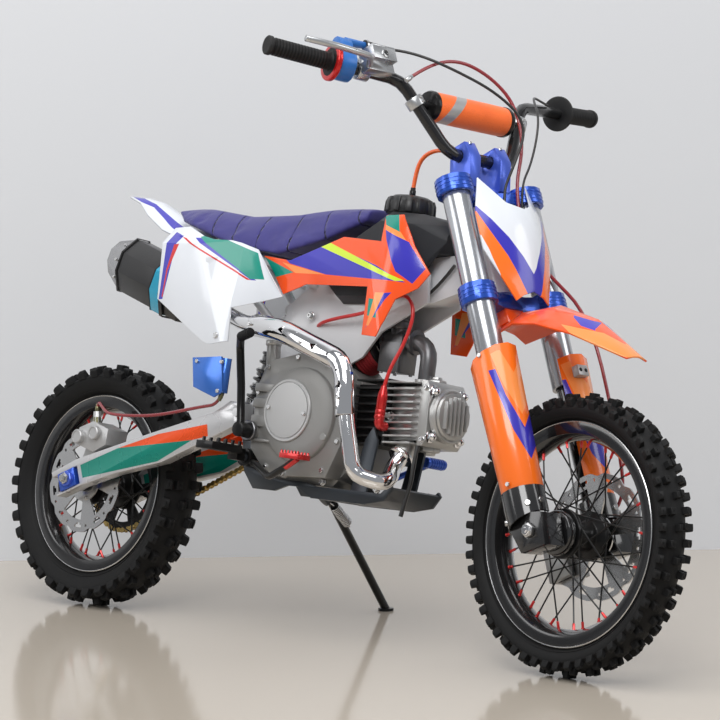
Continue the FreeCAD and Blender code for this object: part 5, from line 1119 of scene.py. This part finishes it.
for node, axes, radius, finish_used, end_finish, points in RUNS:
    run = painted(tube(points, radius), finish_used)
    ends = [crimp(route, radius, end_finish) for route in (points, points[::-1])]
    finished([run] + ends, node + "_smooth", body_of_node(node), axes, 60, [node])


def black_run(points, radius):
    return painted(tube(points, radius), hose_black)


THROTTLE_CABLE = [(12, -210.8, 917.5), (18, -178, 916), (52, -136, 897), (84, -90, 862), (112, -10, 812),
                  (118, 44, 756), (84, 24, 690), (50, 8, 640), (46, 8, 560)]
KILL_WIRE = [(14.7, 236, 877.5), (34, 190, 872), (70, 130, 850), (112, 88, 780), (84, 74, 704), (56, 56, 660),
             (50, 54, 600)]
cables = [black_run(THROTTLE_CABLE, 2.6), black_run(KILL_WIRE, 2.2), crimp(THROTTLE_CABLE, 3.4, hose_black)]
finished(cables, "bar_cables_smooth", "steering", FORK, 60, ["bar_cables"])
drain = black_run([(828, -46, 365.3), (828, -50, 320), (828, -50, 300), (822, -53, 262), (818, -54, 238)], 4.0)
lower = black_run([(713, -4, 594.3), (713, -6, 603), (726, -32, 606), (800, -32, 632), (846, -32, 690)], 3.0)
finished([drain, lower], "engine_hoses_smooth", body_of_node("engine_hoses"), BIKE, 60, ["engine_hoses"])
lead = tube([(762.7, -82, 457), (768, -82, 490), (790, -80, 530), (806, -78, 580), (800, -76, 612), (776, -76, 630),
             (742, -76, 616), (690, -74, 592), (622, -66, 582), (566, -56, 572), (548, -44, 566)], 3.5)
boot = turned([(7, -1), (9.6, 1), (9.6, 8), (8.4, 9), (9.4, 10), (9.4, 17), (8.2, 18), (9.2, 19), (9.2, 40), (8.6, 46),
               (6.4, 54), (5.2, 60)], 16)
boot = painted(boot, red_metal, between((762.5, -83, 403), (763, -82, 458)))
elbow = painted(tube([(763, -82, 404), (763, -84, 398), (763, -78, 392), (763, -66, 393)], 9.0), red_metal)
finished([painted(lead, hose_bright), boot, elbow], "plug_lead_smooth", body_of_node("plug_lead"), BIKE, 60,
         ["plug_lead"])

# %% [markdown]
# ## Engine
# The cast cases come straight from CAD, with softened edges. What makes them read as an engine is what is
# bolted to them: the round clutch plate with its groove, screws round each cover, stiffening ribs, a knurled
# oil filler, and the polished domed nuts that hold the ribbed cover on the cylinder head.

# %% Clutch side
COVER_Y, CLUTCH_Y, LEFT_COVER_Y, NOSE_Y = -96, -107, 88, 100


def on_right(x, y, z):
    """Axes on a surface that faces right."""
    return between((x, y, z), (x, y - 1, z))


def on_left(x, y, z):
    return between((x, y, z), (x, y + 1, z))


def both_sides(x, y, z):
    return [on_right(x, -y, z), on_left(x, y, z)]


clutch_screws = [(604.5, CLUTCH_Y - 2.2, 400), (515.5, CLUTCH_Y - 2.2, 406)]
cover_screws = [(x, COVER_Y, z) for x, z in ((476, 350), (472, 432), (490, 480), (560, 501), (632, 493), (676, 448),
                                             (682, 356), (654, 302), (560, 290), (514, 298))]
clutch = turned([(57.2, -6), (57.2, 0.4), (56.0, 1.8), (52.6, 1.8), (52.0, 0.4), (50.8, 0.4), (50.2, 2.2), (48, 2.4)],
                56)
heads = copied(cap_screw(1.0), [on_right(*p) for p in clutch_screws + cover_screws])
bosses = copied(painted(turned([(8.5, -6), (7.6, 0.0), (7.0, 0.2)], 18), case_grey),
                [on_right(*p) for p in cover_screws])
filler = rounded(turned([(13.5, 0), (15.5, 2), (15.5, 8), (14, 10), (11, 11), (10, 11), (9, 9)], 12), 0.8, 2, 25)
kick_ring = turned([(19, -2), (19, 3), (17.5, 4.5), (14, 4.5), (13, 3)], 28)
drain_bolt = moved(hex_bolt(1.3), between((590, 0, 276), (590, 0, 270)))
ribs = [painted(block((50, 10, tall), (492, -98, z), 2.0, 1.0, 2), case_grey)
        for z, tall in ((441, 15), (413, 17), (380, 21))]
drum = turned([(86, -4), (86, 3), (84, 6.4), (80, 8.0), (60, 9.2)], 64)
wedge = block((44, 12, 5), (500, -97, 345), 1.6, 1.0, 2)
boss_rib = turned([(9, -6), (8, 7), (6.5, 8.5)], 20)
finished([painted(clutch, caliper_grey, on_right(560, CLUTCH_Y, 403)), heads, bosses,
          painted(filler, head_silver, between((482, -84, 520), (481, -84, 530))),
          painted(kick_ring, dark_steel, on_right(470, CLUTCH_Y, 360)), drain_bolt, *ribs,
          painted(drum, case_grey, at(584, COVER_Y, 398) @ turn_by(90, "X")), painted(wedge, case_grey),
          painted(boss_rib, case_grey, on_right(652, COVER_Y, 362))],
         "engine_right_fittings", "chassis", BIKE, 32)

# %% Generator side
nose = turned([(46, -3), (46, 0.6), (44, 2.2), (40, 2.2), (39, 0.8), (37, 0.8), (36, 2.6), (30, 3.2)], 48)
left_heads = copied(cap_screw(1.0), [on_left(x, LEFT_COVER_Y, z) for x, z in (
    (508, 392), (520, 462), (610, 470), (652, 428), (642, 348), (596, 314), (536, 320))])
slots = copied(painted(block((3.2, 20, 2.0), (0, 0, 3.4), 0.6), case_grey),
               [at(566, NOSE_Y, 403) @ ON_AXLE @ turn @ at(0, 20, 0) for turn in round_about(9, "Z")])
finished([painted(nose, case_grey, on_left(566, NOSE_Y, 403)), left_heads, slots],
         "engine_left_fittings", "chassis", BIKE, 32)


# %% Cylinder head
HEAD_Z, LEAN, CRANK_MOUTH = 415, -3, (675, 0, 415)


def tilt(place):
    """The cylinder and its head lean three degrees about the crankcase's mouth."""
    return at(*CRANK_MOUTH) @ turn_by(LEAN, "Y") @ at(*CRANK_MOUTH).inverted() @ place


nut = turned([(8.6, -1.0), (8.6, 0.6), (6.6, 0.6), (6.6, 5.4)], 6)
dome = turned([(5.8, 5.0), (5.6, 7.2), (4.6, 9.4), (2.8, 10.8), (0.8, 11.4)], 16)
washer = turned([(8.8, -1.0), (8.8, 1.0), (8.0, 1.5)], 20)
nuts = copied(painted(joined([nut, dome, washer]), chrome, Matrix.Scale(1.3, 4)),
              [tilt(between((844, y, HEAD_Z + up), (845, y, HEAD_Z + up))) for up in (40, -40) for y in (-38, 38)])
rim_ring = painted(ring_of([(49, 0), (49, 8), (46, 11), (43, 11), (42.5, 2), (44, 0)], 48), head_silver,
                   tilt(between((849, 0, HEAD_Z), (850, 0, HEAD_Z))))
side_bolts = copied(hex_bolt(1.0), [tilt(place) for z in (461, 369) for place in both_sides(836, 49, z)])
plug_hex = painted(turned([(9, 0), (9, 9), (7, 10), (6, 14)], 6), steel, on_right(763, -46, 413))
inspection = []
for z, up in ((474, 1), (356, -1)):
    cap = rounded(turned([(19, -3), (19, 4), (16, 6), (11, 6), (10, 11), (7, 11)], 6), 1.0, 2, 20)
    inspection.append(painted(cap, head_silver, tilt(between((815, 0, z), (815, 0, z + up)))))
finished([nuts, rim_ring, side_bolts, plug_hex] + inspection, "head_fittings", "chassis", BIKE, 34)

# %% Carburettor, filter and intake
bands = []
for p, q, r in (((690, -4, 550), (738, -4, 552), 22.4), ((676, -3, 543), (668, -3, 539), 23.0)):
    bands.append(painted(ring_of([(r, -3.5), (r + 1.4, -3.5), (r + 1.4, 3.5), (r, 3.5)], 28), steel, between(p, q)))
top = rounded(turned([(18.5, -6), (19.5, -4), (19.5, 6), (17, 9), (8, 10), (7, 16), (4, 18)], 14), 0.5, 1, 20)
flange_bolts = copied(hex_bolt(0.9), [between((756, y, 552), (755, y, 552)) for y in (-29, 21)])
bowl_screws = copied(cap_screw(0.8), [between((x, y, 494), (x, y, 493)) for x in (697, 735) for y in (-23, 15)])
folds = [(38.6 if k % 2 else 35.6, 4 + 3.2 * k) for k in range(13)]
pleats = ring_of([(34.5, 0)] + folds + [(36.0, 46), (33, 44), (32, 2)], 40)
end_cap = rounded(turned([(30, 44), (38, 44), (38, 50), (34, 53), (12, 53), (11, 51)], 36), 0.8, 2, 30)
foot = rounded(turned([(20, -6), (24, -6), (36, -2), (36, 3), (20, 3)], 36), 0.6, 2, 30)
filter_axes = between((674, -2, 537.2), (634, -2, 520))
cone = [painted(piece, paint, filter_axes)
        for piece, paint in ((pleats, filter_red), (end_cap, black_metal), (foot, black_metal))]
finished([painted(top, carb_grey, between((713.4, -4, 580), (713, -4, 594))), flange_bolts, bowl_screws]
         + bands + cone, "intake_fittings", "chassis", BIKE, 34, ["air_filter"])

# %% [markdown]
# ## Exhaust
# The shield is a chrome half tube with pierced triangles, through which the pipe shows. The holes are cut with
# one cutter made of many small prisms, which is quicker than cutting each. The can ends in a bare metal cone,
# and a blue band with black edges holds its front.

# %% Pierce the heat shield
SHIELD_Y = -170
HOLES = [(499, 547, 8), (569, 543, 0), (652, 517, -30), (728, 452, -84)]
DOTS = [(464, 552), (534, 547), (607, 542), (690, 505), (717, 478), (727, 432), (729, 412)]
prisms = copied(turned([(9.0, -12), (9.0, 12)], 3, turn=math.radians(90)),
                [between((x, SHIELD_Y, z), (x, SHIELD_Y - 1, z), math.radians(a)) for x, z, a in HOLES])
drills = copied(turned([(2.8, -12), (2.8, 12)], 10), [on_right(x, SHIELD_Y, z) for x, z in DOTS])
cutter = moved(joined([prisms, drills]), BIKE)
edit(cutter)
bpy.ops.mesh.normals_make_consistent(inside=False)
shown()
shield = modified(dressed["heat_shield"], "BOOLEAN", operation="DIFFERENCE", object=cutter, solver="EXACT")
bpy.data.objects.remove(cutter)
shield_bolts = copied(cap_screw(0.8), [on_right(731.6, -162.6, 430), on_right(620, -162.6, 523),
                                       on_right(474, -147.0, 551)])
finished(shield_bolts, "shield_bolts", "chassis", BIKE, 32)
print("pierced shield", len(shield.data.polygons), "faces")

# %% Exhaust can
CAN_Y, CAN_BACK = -92, Vector((87.4, -92, 653.6))
CAN_SLOPE = 0.3143
CAN_OUT, CAN_UP, CAN_ALONG = Vector((0, 1, 0)), Vector((0.30, 0, 0.954)), Vector((-0.954, 0, 0.30))
CAN = [(0.45, 1), (1, 0.3), (1, -0.42), (0.35, -1), (-0.45, -1), (-1, -0.3), (-1, 0.42), (-0.35, 1)]
RIVETS = [(0.72, 0.65), (1, -0.06), (0.68, -0.7), (-0.72, -0.65), (-1, 0.06), (-0.68, 0.7), (0.05, 1), (-0.05, -1)]


def recolour(name, finish_used, into, test):
    """Give the faces of a dressed solid that pass a test, in millimetres, another finish."""
    piece = dressed[name]
    piece.data.materials.append(finish_used)
    for face in piece.data.polygons:
        if test(into @ face.center):
            face.material_index = len(piece.data.materials) - 1


def can_band(x, long, grow, finish_used):
    """An eight-sided sleeve round the can, from its ahead end x backwards."""
    band = circle(8, 1)
    for v, (u, t) in zip(band.data.vertices, CAN):
        v.co = (u * 38 * grow, t * 52 * grow, 0)
    edit(band)
    bpy.ops.mesh.select_mode(type="EDGE")
    edges_pulled((0, 0, long))
    thickened(shown(), 1.6, 0.5)
    place = Matrix((CAN_OUT, CAN_UP, CAN_ALONG)).transposed().to_4x4()
    return painted(band, finish_used, at(x, CAN_Y, 653.4 - (x - 88) * CAN_SLOPE) @ place)


def rivet(u, t):
    """Axes on the can's cap, looking out of one of its flats."""
    foot = Vector((76, CAN_Y, 657.2)) + CAN_OUT * (u * 35) + CAN_UP * (t * 48)
    return between(foot, foot + CAN_OUT * u + CAN_UP * t)


cap_silver = finish("cap_silver", (0.42, 0.42, 0.43), 0.26, 0.9, bump=0.01)
cyan_band = finish("cyan_band", (0.0, 0.40, 0.62), 0.2, 0.5, coat=0.6, bump=0.0)
dressed["muffler"].data.materials[0] = finish("can_black", (0.009, 0.009, 0.010), 0.34, bump=0.01, coat=0.2)
recolour("muffler", cap_silver, into_bike, lambda c: (c - CAN_BACK).dot(CAN_ALONG) > 0)
bands = [can_band(214, 27, 1.04, cyan_band), can_band(224, 10, 1.08, black_metal),
         can_band(189, 3, 1.06, black_metal), can_band(92, 5, 1.03, black_metal)]
outlet = ring_of([(16.4, -2), (19.0, -2), (19.0, 3), (16.4, 6), (15.4, 6), (15.4, -2)], 32)
finished(bands + [copied(cap_screw(0.7), [rivet(*spot) for spot in RIVETS]),
                  painted(outlet, steel, between((44, CAN_Y, 667.5), (36, CAN_Y, 670)))],
         "can_bands", "chassis", BIKE, 30)

# %% [markdown]
# ## Fork, shock and springs
# Springs are a wire swept round a helix. A black boot closes the foot of each fork guard, held by three
# bright bolts, and fine ridges run round the anodised clamps.

# %% Fork boots and clamp ridges
BOOT_F, TUBE_F, LEG_Y = 36.3, 32.3, 87.5


def leg_screws(side, radius, size, spots):
    """Screws round a fork leg, each with the way it looks (ahead, left) and its height."""
    places = []
    for df, dy, s in spots:
        foot = Vector((BOOT_F + radius * df, (LEG_Y + radius * dy) * side, s))
        places.append(between(foot, foot + Vector((df, dy * side, 0))))
    return copied(cap_screw(size), places)


def half_boot(side):
    boot = ring_of([(35.4, 12), (38.2, 12), (38.8, 40), (38.2, 78), (35.4, 78)], 40)
    edit(boot)
    bpy.ops.mesh.bisect(plane_co=(-4, 0, 0), plane_no=(0.35, side, 0), use_fill=True, clear_inner=True)
    bpy.ops.mesh.select_all(action="SELECT")
    bpy.ops.mesh.bisect(plane_co=(-30, 0, 14), plane_no=(-0.26, 0, 1), use_fill=True, clear_inner=True)
    return [painted(shown(), black_gloss, at(BOOT_F, LEG_Y * side, 0)),
            leg_screws(side, 37.6, 1.15, [(-0.62, 0.78, 28), (0.72, 0.69, 46), (0.99, 0.10, 50)]),
            leg_screws(side, 41.4, 0.9, [(0.15, 0.98, 322), (0.15, 0.98, 86)])]


CLAMP_RIDGES = (436, 443, 450, 643, 650.7, 658)
ridges = []
for side in (-1, 1):
    for s in CLAMP_RIDGES:
        ridge = ring_of([(32.6, -1.2), (34.0, -0.8), (34.0, 0.8), (32.6, 1.2)], 44)
        ridges.append(painted(ridge, blue_metal, at(TUBE_F, LEG_Y * side, s)))
    cap = turned([(17.5, -3), (17.5, 1.5), (15, 3), (9, 3), (8.4, 6.5), (7, 7.5)], 6)
    ridges.append(painted(cap, black_metal, at(TUBE_F, LEG_Y * side, 668)))
hose_clamp = painted(block((15, 26, 20), (80, 78, 300), 1.6, 1.0, 2), caliper_grey)
clamp_holes = copied(painted(turned([(3.6, -1), (3.6, 0.3), (2.4, 0.4)], 16), black_metal),
                     [between((87.6, y, 300), (88, y, 300)) for y in (71, 84)])
riser_bolts = copied(cap_screw(0.95), [at(f, y, 738) for f in (6, 46) for y in (-38, 38)])
finished(half_boot(-1) + half_boot(1) + ridges + [riser_bolts, hose_clamp, clamp_holes],
         "fork_fittings", "steering", FORK, 32)

# %% Springs
SHOCK_LOW, SHOCK_TOP = Vector((366, 0, 372)), Vector((440, 0, 596))
along_shock = (SHOCK_TOP - SHOCK_LOW).normalized()
coil = painted(spiral(24.6, 3.3, 17.0, 9, 20, 10), black_gloss, between(SHOCK_LOW + along_shock * 34, SHOCK_TOP))
finished(coil, "shock_coil", "chassis", BIKE, 60)
stand_coil = moved(spiral(8.4, 1.5, 4.0, 13, 14, 8), between((513, 101.3, 247.5), (513, 145.7, 219.9)))
hooks = [tube([(508, 93, 253), (513, 97, 250), (513, 101, 247.6)], 1.5, 8),
         tube([(513, 145.6, 220), (513, 150, 217), (509, 155, 214)], 1.5, 8)]
finished(painted(joined([stand_coil] + hooks), steel), "stand_coil", body_of_node("stand_spring"), BIKE, 60,
         ["stand_spring"])

# %% [markdown]
# ## Small fittings
# These are the little things the eye looks for: the ribbed filler cap, the red toothed brake pedal, the blue
# knurled gear pedal, screws in the plastics, nuts on the axles and the pistons of the calipers.

# %% Filler cap
CAP_GROW = 1.17


def on_rib(face):
    """Every other face round the cap's side stands out as a rib."""
    c = face.center
    turn_at = math.degrees(math.atan2(c.y, c.x)) % 30
    return 3 < c.z < 31 and math.hypot(c.x, c.y) > 28 and turn_at < 15


cap = turned([(33, -1), (37.0, 0), (38.0, 3), (37.2, 20), (34, 29), (27, 34), (14, 36.4), (6, 37), (6, 34)], 48)
pick_faces(cap, on_rib)
bpy.ops.mesh.extrude_region_shrink_fatten(TRANSFORM_OT_shrink_fatten={"value": 2.6})
cap = rounded(painted(shown(), cap_plastic), 0.9, 2, 38)
moved(cap, at(CAP_X, 0, CAP_Z) @ Matrix.Diagonal((CAP_GROW, CAP_GROW, 1.0, 1.0)))
finished(cap, "ribbed_cap", "chassis", BIKE, 40, ["tank_cap"])

# %% Pedals and levers
CLAMP_TOP, GUARD_TOP, SHOCK_FOOT, SHOCK_HEAD, PEDAL_TIP, LEVER_TIP = 670, 334.8, 31, 192, 603, 92
recolour("upper_clamp", blue_pale, into_fork, lambda c: c.z > CLAMP_TOP)
recolour("fork_guards", black_gloss, into_fork, lambda c: c.z > GUARD_TOP)
recolour("shock", black_gloss, into_bike, lambda c: SHOCK_FOOT < (c - SHOCK_LOW).dot(along_shock) < SHOCK_HEAD)
recolour("brake_pedal", red_metal, into_bike, lambda c: c.x > PEDAL_TIP)
recolour("shift_lever", blue_metal, into_bike, lambda c: c.y > LEVER_TIP)
teeth = copied(painted(block((3.6, 4.5, 6.5), (0, 0, 2.0), 0.5, 0.7), red_metal),
               [at(609 + 8 * k, y, 324) for k in range(6) for y in (-157.5, -131)])
knurl = [(5, -1), (9.6, -1)]
for k in range(7):
    knurl += [(10.3, 1.5 + 6.6 * k), (10.3, 4.5 + 6.6 * k), (9.2, 5.4 + 6.6 * k), (9.2, 7.2 + 6.6 * k)]
shift_tip = painted(turned(knurl + [(9.4, 48.5), (6, 49.5)], 24), blue_metal, between((716, 110, 346), (716, 158, 346)))
rings = []
toe, heel = Vector((484, -173, 524.2)), Vector((534, -202, 530))
for k in range(9):
    ring = ring_of([(7.0, -1.6), (9.2, -1.2), (9.2, 1.2), (7.0, 1.6)], 20)
    rings.append(painted(ring, rubber, between(toe.lerp(heel, 0.05 + 0.11 * k), heel)))
finished([teeth, shift_tip] + rings, "pedal_grips", "chassis", BIKE, 34)

# %% Side panels that hug the seat
HUG_FROM, HUG_OVER, HUG_BLEND, HUG_UP, HUG_IN = 290, 668, 80, 13, 0.13
NOSE_FROM, NOSE_AHEAD = 440, 16
for v in dressed["side_panels"].data.vertices:
    c = into_bike @ v.co
    if c.x > HUG_FROM and c.z > HUG_OVER:
        share = min(1.0, (c.x - HUG_FROM) / HUG_BLEND)
        c.z += HUG_UP * share
        c.y *= 1 - HUG_IN * share
    if c.x > NOSE_FROM:
        c.x += NOSE_AHEAD
    v.co = BIKE @ c

# %% Screws in the plastics and the frame
panel_screws = copied(cap_screw(1.3), both_sides(384, 136, 527))
washers = copied(painted(turned([(9.5, -3), (9.5, 0.4), (8.4, 1.2)], 24), steel), both_sides(384, 136, 527))
frame_bolts = copied(hex_bolt(1.25), both_sides(537, 55, 583) + both_sides(768, 70, 281) + both_sides(637, 70, 284))
guard_bolts = copied(cap_screw(0.9), [on_right(x, -125, z) for x, z in ((396, 480), (396, 426), (332, 478))])
finished([panel_screws, washers, frame_bolts, guard_bolts], "frame_screws", "chassis", BIKE, 32)

# %% Brake fluid tank and throttle cable end
on_glass = between((49.9, -208, 884), (50.9, -208, 884))
on_cable = between(THROTTLE_CABLE[0], THROTTLE_CABLE[1])
tank_lid = painted(block((39, 54, 3.5), (31, -209.7, 898), 1.4, 1.0, 2), lever_silver)
lid_screws = copied(cap_screw(0.6), [at(31, y, 899.2) for y in (-229, -190)])
glass = turned([(8.5, -2), (8.5, 1.2), (7, 2.2), (5.4, 2.2), (5, 0.6)], 28)
eye = turned([(4.6, -1), (4.6, 1.0), (3.6, 1.6)], 20)
cable_boot = turned([(9.6, -5), (9.6, 1), (8.0, 2), (7.4, 9), (6.2, 22), (3.6, 31)], 20)
ferrule = ring_of([(8.6, -4), (10.4, -4), (10.4, 0.4), (8.6, 0.4)], 28)
finished([tank_lid, lid_screws, painted(glass, steel, on_glass), painted(eye, black_gloss, on_glass),
          painted(cable_boot, grip_rubber, on_cable), painted(ferrule, steel, on_cable)],
         "bar_fittings", "steering", FORK, 34)

# %% Axle nuts and calipers
ends = copied(painted(turned([(11.5, -6), (11.5, 3), (10, 4.6), (7, 4.6), (6.6, 9), (5.4, 10)], 6), steel),
              both_sides(0, 109, AXLE_UP))
adjusters = copied(painted(turned([(15, -10), (15, 0), (14, 1)], 8), blue_pale), both_sides(0, 107, AXLE_UP))
pistons = turned([(13.5, -6), (13.5, 0.5), (12, 2.2), (10.4, 2.2), (9.8, 0.6), (5, 0.6)], 32)
pistons = copied(painted(pistons, caliper_grey), [on_right(10, -102, 318), on_right(52, -100, 328)])
banjo = painted(turned([(8, 0), (8, 14), (6.4, 15), (6.4, 20), (4, 21)], 12), olive_metal,
                between((32, -74, 345), (28, -74, 370)))
finished([ends, adjusters, pistons, banjo], "rear_end_fittings", "chassis", BIKE, 32)
front_nuts = copied(painted(turned([(9.5, -2), (9.5, 5), (8.6, 6), (5, 6), (4.6, 8)], 6), chrome),
                    [between((AXLE_AHEAD, 120 * side, 0), (AXLE_AHEAD, 130 * side, 0)) for side in (-1, 1)])
pistons = turned([(12.5, -6), (12.5, 0.6), (11, 2.2), (9.4, 2.2), (8.8, 0.6), (4, 0.6)], 32)
pistons = copied(painted(pistons, caliper_grey), [between((-30, 85, s), (-30, 86, s)) for s in (-30, 2)])
finished([front_nuts, pistons], "front_axle_fittings", "steering", FORK, 32)

# %% [markdown]
